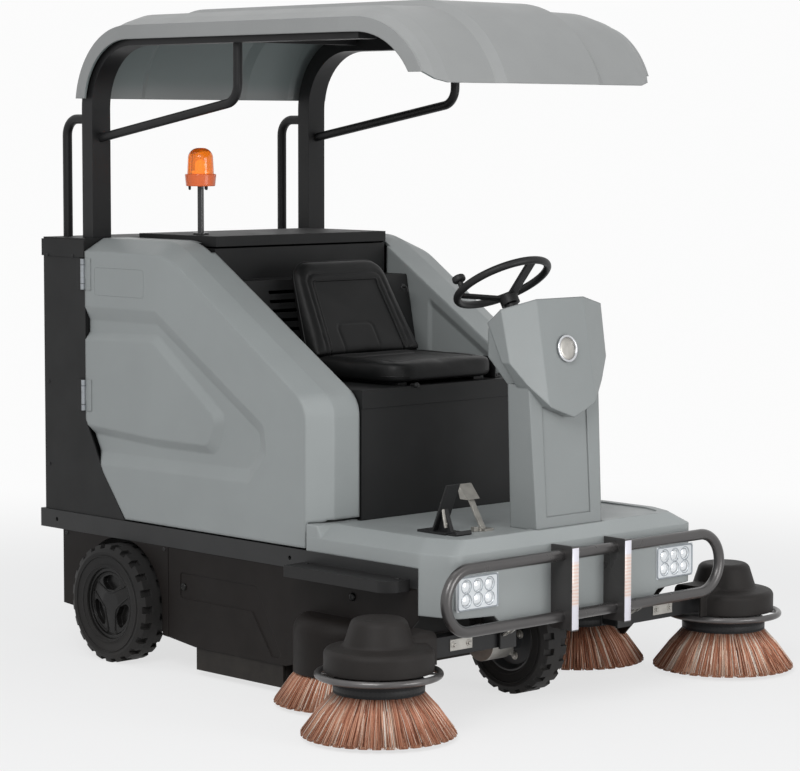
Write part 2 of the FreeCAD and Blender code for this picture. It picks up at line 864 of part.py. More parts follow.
def front_deck():
    plan = deck_outline(0)
    rounds = [0, overrun, overrun, overrun, overrun, 0]
    base = prism_z(plan, rail_top + seat_gap, deck_shoulder, rounds)
    low = outline(plan, in_xy(deck_shoulder), rounds)
    high_points = [(math.copysign(abs(u) - deck_shoulder_width, u), v if v == deck_rear else v + deck_front_shoulder)
                   for u, v in plan]
    high = outline(high_points, in_xy(deck_floor + deck_border), rounds)
    crown = Part.makeLoft([low, high], True, True)
    front_part = [(u, v) for u, v in plan if v < deck_rear]
    rear_cut = rail_front - seat_gap
    apron_plan = [(rail_half_width, rear_cut)] + front_part + [(-rail_half_width, rear_cut)]
    apron = prism_z(plan, deck_apron_bottom, rail_top + sheet, rounds)
    apron = apron.cut(box(-overall_width, overall_width, rear_cut, overall_length, 0, rail_top + seat_gap))
    solid = joined([base, crown, apron])
    inner_plan = inset(plan, sheet)
    inner_plan[0] = (rail_half_width - sheet, deck_rear + overrun)
    inner_plan[-1] = (-rail_half_width + sheet, deck_rear + overrun)
    inner_rounds = [0, overrun - sheet, overrun - sheet, overrun - sheet, overrun - sheet, 0]
    cavity = prism_z(inner_plan, deck_apron_bottom - overrun, deck_shoulder - sheet, inner_rounds)
    inner_low = outline(inner_plan, in_xy(deck_shoulder - sheet), inner_rounds)
    inner_high_points = [(math.copysign(abs(u) - deck_shoulder_width, u),
                          v if v > deck_rear else v + deck_front_shoulder) for u, v in inner_plan]
    inner_high = outline(inner_high_points, in_xy(deck_floor - sheet), inner_rounds)
    cavity = cavity.fuse(Part.makeLoft([inner_low, inner_high], True, True))
    cavity = cavity.cut(box(-overall_width, overall_width, deck_rear - sheet, overall_length, 0, overall_height))
    notch = [(deck_notch_half, deck_apron_bottom), (deck_notch_half + deck_notch_run, deck_corner_bottom),
             (rail_half_width + overrun, deck_corner_bottom + sheet * 2),
             (rail_half_width + overrun, deck_apron_bottom - overrun),
             (deck_notch_half, deck_apron_bottom - overrun)]
    trim = prism_y(notch, deck_front - overrun, deck_rear)
    window = lamp_block(lamp_fit, deck_front - overrun, deck_front + overrun)
    seat_bay = box(-door_inner, door_inner, base_front - base_lid_out - seat_gap, deck_rear + overrun, 0, overall_height)
    well_rounds = [0, overrun, overrun, overrun, overrun, 0]
    well = prism_z(inset(high_points, deck_border_width), deck_floor, deck_floor + overrun, well_rounds)
    foot_bay = box(-console_half - moving_gap, console_half + moving_gap, console_front - moving_gap,
                   console_back + moving_gap, deck_floor, deck_floor + overrun)
    return solid.cut([cavity, trim, mirrored(trim), window, mirrored(window), seat_bay, well, foot_bay])


def lamp_block(grow, front, back):
    return box(lamp_x - lamp_width / 2 - grow, lamp_x + lamp_width / 2 + grow, front, back,
               lamp_z - lamp_height / 2 - grow, lamp_z + lamp_height / 2 + grow)


def headlamp():
    face = deck_front - seat_gap - lamp_bezel_out
    bezel = box(lamp_x - lamp_width / 2 - lamp_bezel, lamp_x + lamp_width / 2 + lamp_bezel, face,
                deck_front - seat_gap, lamp_z - lamp_height / 2 - lamp_bezel, lamp_z + lamp_height / 2 + lamp_bezel)
    body = joined([bezel, lamp_block(0, face, face + lamp_depth)])
    cups = []
    for i in range(lamp_columns):
        for j in range(lamp_rows):
            x = lamp_x + (i - (lamp_columns - 1) / 2) * cup_pitch_x
            z = lamp_z + (j - (lamp_rows - 1) / 2) * cup_pitch_z
            cups.append(Part.makeCone(cup_radius, cup_floor_radius, cup_depth, at(x, face, z), at(0, 1, 0)))
    return body.cut(Part.makeCompound(cups))


def door_points(shares, front, rear, bottom, top):
    return [(front + u * (rear - front), bottom + v * (top - bottom)) for u, v in shares]


def side_door():
    """Hollow pod on the +X side: flat face, bevelled top and nose, and a driver's side wall."""
    radii = [0, door_top_radius, door_nose_radius, 0, 0, 0, 0]
    edge = door_points(door_edge_shares, door_front, door_rear, door_bottom, door_top)
    face = door_points(door_face_shares, door_front, door_rear, door_bottom, door_top)
    inner_block = prism_x(edge, door_inner, door_bevel_start, radii)
    bevel = Part.makeLoft([outline(edge, in_yz(door_bevel_start), radii), outline(face, in_yz(door_face), radii)],
                          True, True)
    solid = joined([inner_block, bevel])

    def open_inset(points):
        moved = inset(points, moulding)
        moved[3] = (moved[3][0], door_bottom - overrun)
        moved[4] = (moved[4][0], door_bottom - overrun)
        moved[0] = (door_rear + overrun, moved[0][1])
        moved[6] = (door_rear + overrun, moved[6][1])
        return moved

    inner_radii = [0, door_top_radius - moulding, door_nose_radius - moulding, 0, 0, 0, 0]
    deep = open_inset(edge)
    shallow = open_inset(face)
    hollow = prism_x(deep, door_inner + moulding, door_bevel_start - moulding / 2, inner_radii)
    hollow = hollow.fuse(Part.makeLoft([outline(deep, in_yz(door_bevel_start - moulding / 2), inner_radii),
                                        outline(shallow, in_yz(door_face - moulding), inner_radii)], True, True))
    channel_outer = door_points(channel_outer_shares, door_front, door_rear, door_bottom, door_top)
    island = door_points(channel_island_shares, door_front, door_rear, door_bottom, door_top)
    channel_radii = [0] + [channel_radius] * 4 + [0]
    floor = door_face - channel_depth
    lip = inset(channel_outer, channel_wall_run)
    ring = Part.makeLoft([outline(channel_outer, in_yz(door_face + seat_gap), channel_radii),
                          outline(lip, in_yz(floor), channel_radii)], True, True)
    spread = inset(island, -island_wall_run)
    heart = Part.makeLoft([outline(island, in_yz(door_face + seat_gap * 2), channel_radii),
                           outline(spread, in_yz(floor - seat_gap), channel_radii)], True, True)
    backing = prism_x(inset(channel_outer, -moulding / 2), floor - moulding, door_face, channel_radii)
    hollow = hollow.cut(backing)
    gate = box(door_inner - sheet, door_inner + moulding * 2, core_front - moving_gap, door_rear + overrun,
               door_bottom - overrun, door_top - moulding)
    rise = deck_floor + deck_border - deck_shoulder
    sill_points = [(0, 0), (0, deck_shoulder + rise + door_sill_gap),
                   (rail_half_width - deck_shoulder_width, deck_shoulder + rise + door_sill_gap),
                   (rail_half_width + deck_shoulder_width, deck_shoulder - rise + door_sill_gap),
                   (rail_half_width + deck_shoulder_width, 0)]
    sill = prism_y(sill_points, door_front - overrun, deck_rear + moving_gap)
    inner_sill = box(0, door_face - moulding, door_front - overrun, door_rear, 0, deck_floor + door_floor_gap)
    solid = solid.cut([hollow, ring.cut(heart), gate, sill, inner_sill])
    pieces = [solid]
    for low in (door_hinge_low, door_hinge_high):
        start = at(door_face + hinge_radius, door_hinge_y, low)
        leaf = box(door_face - hinge_leaf_thickness / 2, door_face + hinge_leaf_thickness, door_rear - hinge_leaf,
                   door_rear, low, low + door_hinge_length)
        leaf = leaf.cut(hinge_room(start, at(0, 0, 1), door_hinge_length, hinge_radius, False))
        pieces += [leaf, hinge_barrels(start, at(0, 0, 1), door_hinge_length, hinge_radius, hinge_pin_radius)[1]]
    body = joined(pieces)
    pins = [rod(at(door_face + hinge_radius, door_hinge_y, low), at(door_face + hinge_radius, door_hinge_y,
            low + door_hinge_length), hinge_pin_radius + pin_clearance) for low in (door_hinge_low, door_hinge_high)]
    return body.cut(pins)


def rear_housing():
    """Folded sheet housing: wide rear box, narrow core box and the louvred wall behind the seat."""
    base = rail_top + seat_gap
    wide = box(-housing_half, housing_half, housing_front, housing_rear, base, housing_top)
    profile = [(housing_front + sheet, base), (housing_front + sheet, fascia_top), (core_front, fascia_top),
               (core_front, ledge_height), (ledge_front, ledge_height), (bulkhead_foot_y, bulkhead_foot),
               (bulkhead_foot_y, base)]
    core = prism_x(profile, -core_half, core_half)
    cap = box(-housing_half - cap_out, housing_half + cap_out, housing_front, housing_rear + cap_out, cap_bottom,
              housing_top - sheet)
    foot, knee, corner = [(y + cheek_gap, z) for y, z in
                          door_points(door_edge_shares[-3:], door_front, door_rear, door_bottom, door_top)]
    cheek = prism_x([(foot[0], base), knee, corner, (housing_front + sheet, corner[1]), (housing_front + sheet, base)],
                    housing_half - sheet, housing_half)
    solid = joined([wide, core, cap])
    wide_hollow = box(-housing_half + sheet, housing_half - sheet, housing_front + sheet, housing_rear - sheet,
                      base - overrun, cap_bottom - sheet)
    doorway = box(-rear_door_half + door_lap, rear_door_half - door_lap, housing_rear - sheet * 2,
                  housing_rear + overrun, rear_door_bottom + door_lap, rear_door_top - door_lap)
    top_hollow = box(-housing_half + sheet, housing_half - sheet, housing_front + sheet, housing_rear - sheet,
                     cap_bottom - sheet * 2, housing_top - sheet)
    inner_profile = inset(profile, sheet)
    inner_profile[0] = (housing_front + sheet * 3, base - overrun)
    inner_profile[1] = (housing_front + sheet * 3, fascia_top + overrun)
    inner_profile[2] = (core_front + sheet, fascia_top + overrun)
    inner_profile[-1] = (bulkhead_foot_y + sheet, base - overrun)
    core_hollow = prism_x(inner_profile, -core_half + sheet, core_half - sheet)
    core_hollow = core_hollow.cut(box(-overall_width, overall_width, housing_front, overall_length,
                                      fascia_top - sheet, overall_height))
    slope = math.atan2(ledge_front - bulkhead_foot_y, ledge_height - bulkhead_foot)
    slots = []
    for i in range(louvre_count):
        down = louvre_top_offset + i * louvre_pitch
        y = ledge_front - down * math.sin(slope)
        z = ledge_height - down * math.cos(slope)
        slots.append(box(-louvre_half_width, louvre_half_width, y - overrun, y + overrun, z, z + louvre_height))
    strip = box(-core_half, core_half, cover_rear - cover_hinge_back, housing_front + sheet / 2, fascia_top - sheet,
                fascia_top)
    shell = solid.cut([wide_hollow, top_hollow, core_hollow, doorway] + slots)
    return joined([shell, strip, cheek, mirrored(cheek)] + housing_hinges())


def housing_hinges():
    """Fixed halves of the side door, rear door and cover hinges."""
    pieces = []
    up = at(0, 0, 1)
    for low in (door_hinge_low, door_hinge_high):
        start = at(door_face + hinge_radius, door_hinge_y, low)
        leaf = box(housing_half - hinge_leaf_thickness, door_face + hinge_leaf_thickness, housing_front,
                   housing_front + hinge_leaf, low, low + door_hinge_length)
        leaf = leaf.cut(hinge_room(start, up, door_hinge_length, hinge_radius, True))
        fixed = hinge_barrels(start, up, door_hinge_length, hinge_radius, hinge_pin_radius)[0]
        pieces += [leaf, fixed, mirrored(leaf), mirrored(fixed)]
    for low in (rear_hinge_low, rear_hinge_high):
        start = rear_hinge_start(low)
        block = box(start.x, housing_half, housing_rear - sheet, start.y, low, low + rear_hinge_length)
        block = block.cut(hinge_room(start, up, rear_hinge_length, hinge_radius, True))
        pieces += [block, hinge_barrels(start, up, rear_hinge_length, hinge_radius, hinge_pin_radius)[0]]
    for x in (-cover_hinge_x - cover_hinge_length, cover_hinge_x):
        start = cover_hinge_start(x)
        block = box(x, x + cover_hinge_length, start.y - hinge_radius / 2, start.y + hinge_radius / 2,
                    fascia_top - sheet / 2, start.z)
        block = block.cut(hinge_room(start, at(1, 0, 0), cover_hinge_length, hinge_radius, True))
        pieces += [block, hinge_barrels(start, at(1, 0, 0), cover_hinge_length, hinge_radius, hinge_pin_radius)[0]]
    return pieces


def rear_hinge_start(low):
    return at(rear_door_half + rear_hinge_offset, housing_rear + cap_out + rear_door_gap + rear_door_thickness / 2, low)


def cover_hinge_start(x):
    return at(x, cover_rear + cover_hinge_back, fascia_top + cover_hinge_rise)


def top_cover():
    outer = box(-core_half, core_half, core_front - sheet, cover_rear, cover_bottom, cover_top)
    inner = box(-core_half + sheet, core_half - sheet, core_front, cover_rear - sheet, cover_bottom - overrun,
                cover_top - sheet)
    body = outer.cut(inner)
    for x in (-cover_hinge_x - cover_hinge_length, cover_hinge_x):
        start = cover_hinge_start(x)
        third = cover_hinge_length / 3
        arm = box(x + third + hinge_end_gap, x + third * 2 - hinge_end_gap, cover_rear - sheet / 2, start.y,
                  start.z - hinge_leaf_thickness, start.z + hinge_leaf_thickness)
        barrel = hinge_barrels(start, at(1, 0, 0), cover_hinge_length, hinge_radius, hinge_pin_radius)[1]
        pin = rod(start, start + at(cover_hinge_length, 0, 0), hinge_pin_radius + pin_clearance)
        body = joined([body, arm, barrel]).cut(pin)
    return body


def rear_door():
    front = housing_rear + cap_out + rear_door_gap
    panel = box(-rear_door_half, rear_door_half, front, front + rear_door_thickness, rear_door_bottom, rear_door_top)
    pan = box(-rear_door_half + sheet, rear_door_half - sheet, front - overrun, front + rear_door_thickness - sheet,
              rear_door_bottom + sheet, rear_door_top - sheet)
    panel = panel.cut(pan)
    skin = front + rear_door_thickness - sheet / 2
    end = overall_length / 2 - handle_radius
    grip = tube([at(-handle_side, skin, handle_height - handle_half), at(-handle_side, end, handle_height - handle_half),
                 at(-handle_side, end, handle_height + handle_half),
                 at(-handle_side, skin, handle_height + handle_half)], handle_radius * 1.2, handle_radius)
    body = joined([panel, grip])
    for low in (rear_hinge_low, rear_hinge_high):
        start = rear_hinge_start(low)
        third = rear_hinge_length / 3
        arm = box(rear_door_half - sheet / 2, start.x, start.y - hinge_leaf_thickness, start.y + hinge_leaf_thickness,
                  low + third + hinge_end_gap, low + third * 2 - hinge_end_gap)
        barrel = hinge_barrels(start, at(0, 0, 1), rear_hinge_length, hinge_radius, hinge_pin_radius)[1]
        pin = rod(start, start + at(0, 0, rear_hinge_length), hinge_pin_radius + pin_clearance)
        body = joined([body, arm, barrel]).cut(pin)
    return body


def seat_base():
    body = box(-core_half, core_half, base_front, base_rear, rail_top + seat_gap, base_lid_line)
    hollow = box(-core_half + sheet, core_half - sheet, base_front + sheet, base_rear - sheet, 0,
                 base_lid_line + overrun)
    lid = box(-core_half, core_half, base_front - base_lid_out, base_rear, base_lid_line, base_top)
    lid_hollow = box(-core_half + sheet, core_half - sheet, base_front + sheet, base_rear - sheet, base_lid_line - sheet,
                     base_top - sheet)
    return joined([body.cut(hollow), lid.cut(lid_hollow)])


def battery_pack():
    return box(-battery_half_width, battery_half_width, battery_front, battery_front + battery_length,
               rail_top + seat_gap, rail_top + battery_height)


def back_front(z):
    """Front face of the backrest at a height."""
    return back_foot_y + back_lean * (z - back_foot) / (back_top - back_foot)


def leaning(shape, z):
    """Leans an upright shape, drawn from y = 0, with the backrest's front face."""
    lean = back_lean / (back_top - back_foot)
    shear = FreeCAD.Matrix()
    shear.A23 = lean
    slanted = shape.transformGeometry(shear)
    slanted.translate(at(0, back_front(z) - lean * z, 0))
    return slanted


def seat_bracket():
    low = base_top + seat_gap
    high = cushion_top + overrun * 3
    width = runner_half + runner_width
    rear = back_front(low) + back_thickness + seat_gap + sheet
    runners = [box(x, x + runner_width, seat_front + overrun, rear, low, cushion_bottom - seat_gap)
               for x in (-runner_half - runner_width, runner_half)]
    upright = leaning(box(-width, width, back_thickness + seat_gap, back_thickness + seat_gap + sheet, low, high), low)
    return joined(runners + [upright])


def seat_cushion():
    plan = [(-seat_half, seat_front), (seat_half, seat_front), (seat_half, seat_rear), (-seat_half, seat_rear)]
    return prism_z(plan, cushion_bottom, cushion_top, [cushion_radius, cushion_radius, sheet, sheet])


def seat_back():
    """Backrest pad: its foot comes forward over the cushion, its top corners are round."""
    low = cushion_top + sheet
    side = [(back_bulge_front, low), (back_front(back_bulge_top), back_bulge_top), (back_front(back_top), back_top),
            (back_front(back_top) + back_thickness, back_top), (back_front(low) + back_thickness, low)]
    rounds = [sheet, back_bulge_bend, back_edge_round, back_edge_round, sheet]
    front = [(-seat_half, low), (seat_half, low), (back_top_half, back_top), (-back_top_half, back_top)]
    slab = prism_y(front, back_bulge_front - overrun, back_front(back_top) + back_thickness + overrun,
                   [sheet, sheet, back_radius, back_radius])
    return prism_x(side, -seat_half, seat_half, rounds).common(slab)


# Console and controls


def console():
    bottom = deck_floor + seat_gap
    low = outline([(-console_half, console_front), (console_half, console_front), (console_half, console_back),
                   (-console_half, console_back)], in_xy(bottom))
    high = outline([(-column_top_half, column_top_front), (column_top_half, column_top_front),
                    (column_top_half, column_top_back), (-column_top_half, column_top_back)], in_xy(column_top))
    column = Part.makeLoft([low, high], True, True)
    front = [(u * shield_half, shield_tip + v * (shield_peak - shield_tip)) for u, v in shield_outline_shares]
    kite = prism_y(front, console_front - overrun * 2, shield_rear_top_y + overrun)
    tip_y = shield_peak_y - shield_slope * (shield_peak - shield_tip)
    side = [(shield_peak_y, shield_peak), (shield_rear_top_y, shield_rear_top), (shield_rear_mid_y, shield_rear_mid),
            (shield_rear_low_y, shield_tip), (tip_y, shield_tip)]
    wedge = prism_x(side, -shield_half, shield_half)
    rise = overrun / 2
    start_y = shield_peak_y + shield_slope * rise
    rear_y = steer_y + overrun
    plan = [(-shield_panel_half, start_y), (shield_panel_half, start_y), (shield_half, start_y + shield_sweep),
            (shield_half, rear_y), (-shield_half, rear_y), (-shield_half, start_y + shield_sweep)]
    drop = shield_peak - shield_tip + rise * 2
    sweep = prism(outline(plan, in_xy(shield_peak + rise)), at(0, -shield_slope * drop, -drop))
    shield = kite.common(wedge).common(sweep)
    dash_side = [(dash_front_y, dash_top), (dash_rear_y, dash_rear_top), (dash_rear_y, dash_rear_low),
                 (dash_foot_y, dash_foot), (dash_front_y, dash_foot)]
    dash = prism_x(dash_side, -dash_half, dash_half, [0, sheet, sheet, 0, 0])
    body = joined([column, shield, dash])
    inner_low = outline([(-console_half + sheet, console_front + sheet), (console_half - sheet, console_front + sheet),
                         (console_half - sheet, console_back - sheet), (-console_half + sheet, console_back - sheet)],
                        in_xy(bottom - sheet))
    inner_high = outline([(-column_top_half + sheet, column_top_front + sheet),
                          (column_top_half - sheet, column_top_front + sheet),
                          (column_top_half - sheet, column_top_back - sheet),
                          (-column_top_half + sheet, column_top_back - sheet)], in_xy(column_top - sheet))
    hollow = Part.makeLoft([inner_low, inner_high], True, True)
    socket = rod(steer_point(steer_dish), steer_point(steer_dish + column_length + seat_gap), column_radius + seat_gap)
    tall = column_top - bottom
    foot_front = console_front + (column_top_front - console_front) * panel_foot / tall
    panel_ends = []
    for face, z in ((foot_front, bottom + panel_foot), (column_top_front, column_top)):
        panel_ends.append(outline([(-panel_half, face - overrun), (panel_half, face - overrun),
                                   (panel_half, face + panel_depth), (-panel_half, face + panel_depth)], in_xy(z)))
    panel = Part.makeLoft(panel_ends, True, True).cut(shield)
    return body.cut([hollow, socket, panel])


def steer_axis():
    tilt = math.radians(steer_tilt)
    return at(0, math.sin(tilt), math.cos(tilt))


def steer_point(down):
    return at(0, steer_y, steer_z) - steer_axis() * down


def steering_column():
    top = steer_point(steer_dish + steer_hub_height + moving_gap / 3)
    body = rod(steer_point(steer_dish + column_length), top, column_radius)
    bore = rod(steer_point(steer_dish + steer_hub_height + steer_stub_length + moving_gap),
               steer_point(steer_dish), steer_stub_radius + pin_clearance)
    return body.cut(bore)


def steering_wheel():
    """Round rim, dished hub, one wide and two narrower flat spokes, and a mushroom knob on the rim."""
    axis = steer_axis()
    centre = steer_point(0)
    ring_radius = steer_outer_radius - steer_rim_radius
    rim = Part.makeTorus(ring_radius, steer_rim_radius, centre, axis)
    hub = rod(steer_point(steer_dish + steer_hub_height), steer_point(steer_dish - sheet), steer_hub_radius)
    stub = rod(steer_point(steer_dish + steer_hub_height + steer_stub_length), steer_point(steer_dish),
               steer_stub_radius)
    pieces = [rim, hub, stub]
    outward = at(0, -axis.z, axis.y)
    inner, outer = steer_hub_radius / 2, ring_radius
    for i, width in enumerate(steer_spoke_widths):
        place = lambda u, v: centre + outward * u + axis * v + at(-width / 2, 0, 0)
        spoke = prism(outline([(inner, -steer_dish - steer_spoke_half), (outer, -steer_spoke_half),
                               (outer, steer_spoke_half), (inner, -steer_dish + steer_spoke_half)], place),
                      at(width, 0, 0))
        spoke.rotate(centre, axis, i * full_turn / len(steer_spoke_widths))
        pieces.append(spoke)
    knob_foot = centre + at(-ring_radius, 0, 0)
    stem_top = steer_rim_radius + steer_knob_rise
    head_top = stem_top + steer_knob_height
    knob = spun([(0, 0), (steer_knob_stem, 0), (steer_knob_stem, stem_top), (steer_knob_radius, stem_top),
                 (steer_knob_radius, head_top), (0, head_top)], knob_foot, axis,
                [0, 0, 0, steer_knob_round, steer_knob_round, 0])
    knob.rotate(centre, axis, -steer_knob_turn)
    return joined(pieces + [knob])


def pedal():
    low = deck_floor + seat_gap
    plate = box(pedal_x - pedal_half, pedal_x + pedal_half, pedal_y - pedal_base_length / 2,
                pedal_y + pedal_base_length / 2, low, low + pedal_plate)
    pad_points = [(pedal_y, low + pedal_plate / 2), (pedal_y + pedal_plate, low + pedal_plate / 2),
                  (pedal_y + pedal_plate - pedal_lean, low + pedal_height), (pedal_y - pedal_lean, low + pedal_height)]
    pad = prism_x(pad_points, pedal_x - pedal_half * 0.8, pedal_x + pedal_half * 0.8)
    rib = prism_x([(pedal_y - pedal_base_length / 2, low), (pedal_y + pedal_plate, low),
                   (pedal_y - pedal_lean * 0.5, low + pedal_height * 0.5)], pedal_x - pedal_plate, pedal_x + pedal_plate)
    return joined([plate, pad, rib])


def lever_pedal():
    low = deck_floor + seat_gap
    bar = prism_x([(lever_y, low), (lever_y + pedal_plate, low), (lever_y + lever_lean + pedal_plate, low + lever_height),
                   (lever_y + lever_lean, low + lever_height)], lever_x - lever_width / 2, lever_x + lever_width / 2)
    foot = box(lever_x - lever_width, lever_x + lever_width, lever_y - lever_width, lever_y + lever_width, low,
               low + pedal_plate)
    tip = lever_y + lever_lean
    pad = prism_x([(tip - lever_pad_length / 2, low + lever_height - lever_pad_length / 2),
                   (tip + pedal_plate, low + lever_height - lever_pad_length / 2),
                   (tip + lever_pad_length / 2, low + lever_height + lever_pad_length / 2),
                   (tip + lever_pad_length / 2 - pedal_plate, low + lever_height + lever_pad_length / 2)],
                  lever_x - lever_pad_half, lever_x + lever_pad_half)
    return joined([bar, foot, pad])


# Canopy


def canopy_frame():
    outer_bend = post_rear - canopy_rear_y
    low = housing_top + seat_gap
    points = [(post_rear, low), (post_rear, roof_rail_top), (roof_rail_front, roof_rail_top),
              (roof_rail_front, roof_rail_top - post_depth), (post_rear - post_depth, roof_rail_top - post_depth),
              (post_rear - post_depth, low)]
    side = prism_x(points, post_inner, post_outer, [0, outer_bend, 0, 0, outer_bend - post_depth, 0])
    rail_under = roof_rail_top - post_depth
    brace = tube([at(brace_x, post_rear - post_depth + sheet, brace_foot), at(brace_x, brace_bend_y, brace_bend_z),
                  at(brace_x, brace_bend_y, rail_under + sheet)], brace_bend_radius, brace_radius)
    grab = tube([at(grab_x, grab_y, low), at(grab_x, grab_y, grab_top), at(grab_x, post_rear - sheet, grab_top)],
                grab_bend, grab_radius)
    half = joined([side, brace, grab])
    bars = []
    pad_edge = canopy_ridge_half + canopy_ridge_run + sheet + crossbar_depth
    slope = (canopy_bevel_start_drop - canopy_ridge_drop) / (canopy_bevel_half - canopy_ridge_half - canopy_ridge_run)
    pad_drop = canopy_ridge_drop + slope * (pad_edge - canopy_ridge_half - canopy_ridge_run)
    pad_top = overall_height - pad_drop - canopy_skin - seat_gap
    for y in (crossbar_front_y, canopy_rear_y - crossbar_bend_gap - crossbar_depth):
        bars.append(box(-post_inner - sheet, post_inner + sheet, y, y + crossbar_depth,
                        roof_rail_top - crossbar_depth, roof_rail_top))
        for x in (pad_edge - crossbar_depth, -pad_edge):
            bars.append(box(x, x + crossbar_depth, y, y + crossbar_depth, roof_rail_top - sheet, pad_top))
    return joined([half, mirrored(half)] + bars)


def fall_section(x, ahead, top, run, radius, lip, depth):
    """Closed section of the roof skin that runs level from the split plane and then curves down to its lip."""
    start = at(x, canopy_split_y, 0)
    place = lambda along, z: start + ahead * along + at(0, 0, z)
    sides = []
    for inward in (0, depth):
        bend = radius - inward
        lip_angle = math.asin((lip - top + radius) / bend)
        angles = (math.pi / 2, (math.pi / 2 + lip_angle) / 2, lip_angle)
        curve = [place(run + bend * math.cos(t), top - radius + bend * math.sin(t)) for t in angles]
        level = place(0, top - inward)
        sides.append((level, Part.makeLine(level, curve[0]), Part.Arc(*curve).toShape(), curve[-1]))
    outer, inner = sides
    return Part.Wire([outer[1], outer[2], Part.makeLine(outer[3], inner[3]), inner[2], inner[1],
                      Part.makeLine(inner[0], outer[0])])


def rear_section(station, depth):
    x, drop = station[0], station[1]
    return fall_section(x, at(0, 1, 0), overall_height - drop, canopy_rear_y - canopy_split_y,
                        canopy_rear_radius - drop, canopy_rear_lip, depth)


def front_section(station, depth):
    x, drop, run, radius, fall, turn = station
    ahead = at(-math.sin(math.radians(turn)), -math.cos(math.radians(turn)), 0)
    return fall_section(x, ahead, overall_height - drop, run, radius - drop, overall_height - fall, depth)


def canopy_shell():
    """Moulded roof: raised middle panel, side bands, rounded shoulders drawn in at the front, and side rims."""
    middle = (canopy_front_run, canopy_front_radius, canopy_front_fall, 0)
    stations = [(canopy_ridge_half, 0) + middle,
                (canopy_ridge_half + canopy_ridge_run, canopy_ridge_drop) + middle,
                (canopy_bevel_half, canopy_bevel_start_drop) + middle,
                (canopy_shoulder_half, canopy_shoulder_drop, canopy_shoulder_front_run, canopy_shoulder_front_radius,
                 canopy_shoulder_front_fall, canopy_shoulder_turn),
                (canopy_half - canopy_rim, canopy_bevel_drop, canopy_side_front_run, canopy_side_front_radius,
                 canopy_side_front_fall, canopy_side_turn)]
    side_panels = []
    crown = []
    for section in (rear_section, front_section):
        wires = [section(station, canopy_skin) for station in stations]
        for near, far in zip(wires, wires[1:]):
            side_panels.append(Part.makeLoft([near, far], True, True))
        rim = section(stations[-1], canopy_skirt_drop - canopy_bevel_drop)
        side_panels.append(prism(rim, at(canopy_rim, 0, 0)))
        crown.append(prism(section(stations[0], canopy_skin), at(-canopy_ridge_half * 2, 0, 0)))
    side = joined(side_panels)
    return joined(crown + [side, mirrored(side)])


def beacon_base():
    low = cover_top + seat_gap
    foot = rod(at(beacon_x, beacon_y, low), at(beacon_x, beacon_y, low + beacon_foot_height), beacon_foot_radius)
    pole = rod(at(beacon_x, beacon_y, low), at(beacon_x, beacon_y, beacon_base_bottom + sheet), beacon_pole_radius)
    profile = [(0, beacon_base_bottom), (beacon_base_radius, beacon_base_bottom),
               (beacon_collar_radius, beacon_collar_top), (0, beacon_collar_top)]
    rounds = [0, beacon_collar_round, beacon_collar_round, 0]
    return joined([foot, pole, spun(profile, at(beacon_x, beacon_y, 0), at(0, 0, 1), rounds)])


def beacon_dome():
    low = beacon_collar_top + seat_gap
    points = [(0, low), (beacon_dome_radius, low), (beacon_dome_top_radius, beacon_dome_top), (0, beacon_dome_top)]
    return spun(points, at(beacon_x, beacon_y, 0), at(0, 0, 1), [0, 0, beacon_dome_round, 0])


# Front bumper


def front_bumper():
    radius = (bumper_top - bumper_bottom) / 2 - bumper_radius
    middle = (bumper_top + bumper_bottom) / 2
    end = bumper_reach - bumper_radius - radius
    bars = []
    for z in (middle - radius, middle + radius):
        bars.append(rod(at(-end, bumper_y, z), at(end, bumper_y, z), bumper_radius))
    for sign in (-1, 1):
        section = Part.Face(Part.Wire(Part.makeCircle(bumper_radius, at(sign * end, bumper_y, middle + radius),
                                                      at(1, 0, 0))))
        bars.append(section.revolve(at(sign * end, bumper_y, middle), at(0, sign, 0), half_turn))
    plates = []
    for sign in (-1, 1):
        x = sign * bumper_plate_x
        plates.append(box(x - bumper_plate_half, x + bumper_plate_half, bumper_plate_front, deck_front - seat_gap,
                          bumper_plate_bottom, bumper_plate_top))
        plates.append(box(x - bumper_flat_half, x + bumper_flat_half, bumper_plate_front - bumper_flat_thickness,
                          bumper_plate_front, bumper_plate_bottom, bumper_plate_top))
    return joined(bars + plates)


# Side panels under the rails


def side_step():
    plan = [(rail_half_width + seat_gap, step_rear), (rail_half_width + step_out, step_rear),
            (rail_half_width + step_out, step_front), (rail_half_width + seat_gap, step_front)]
    return prism_z(plan, step_bottom, step_top, [0, sheet, step_radius, 0])


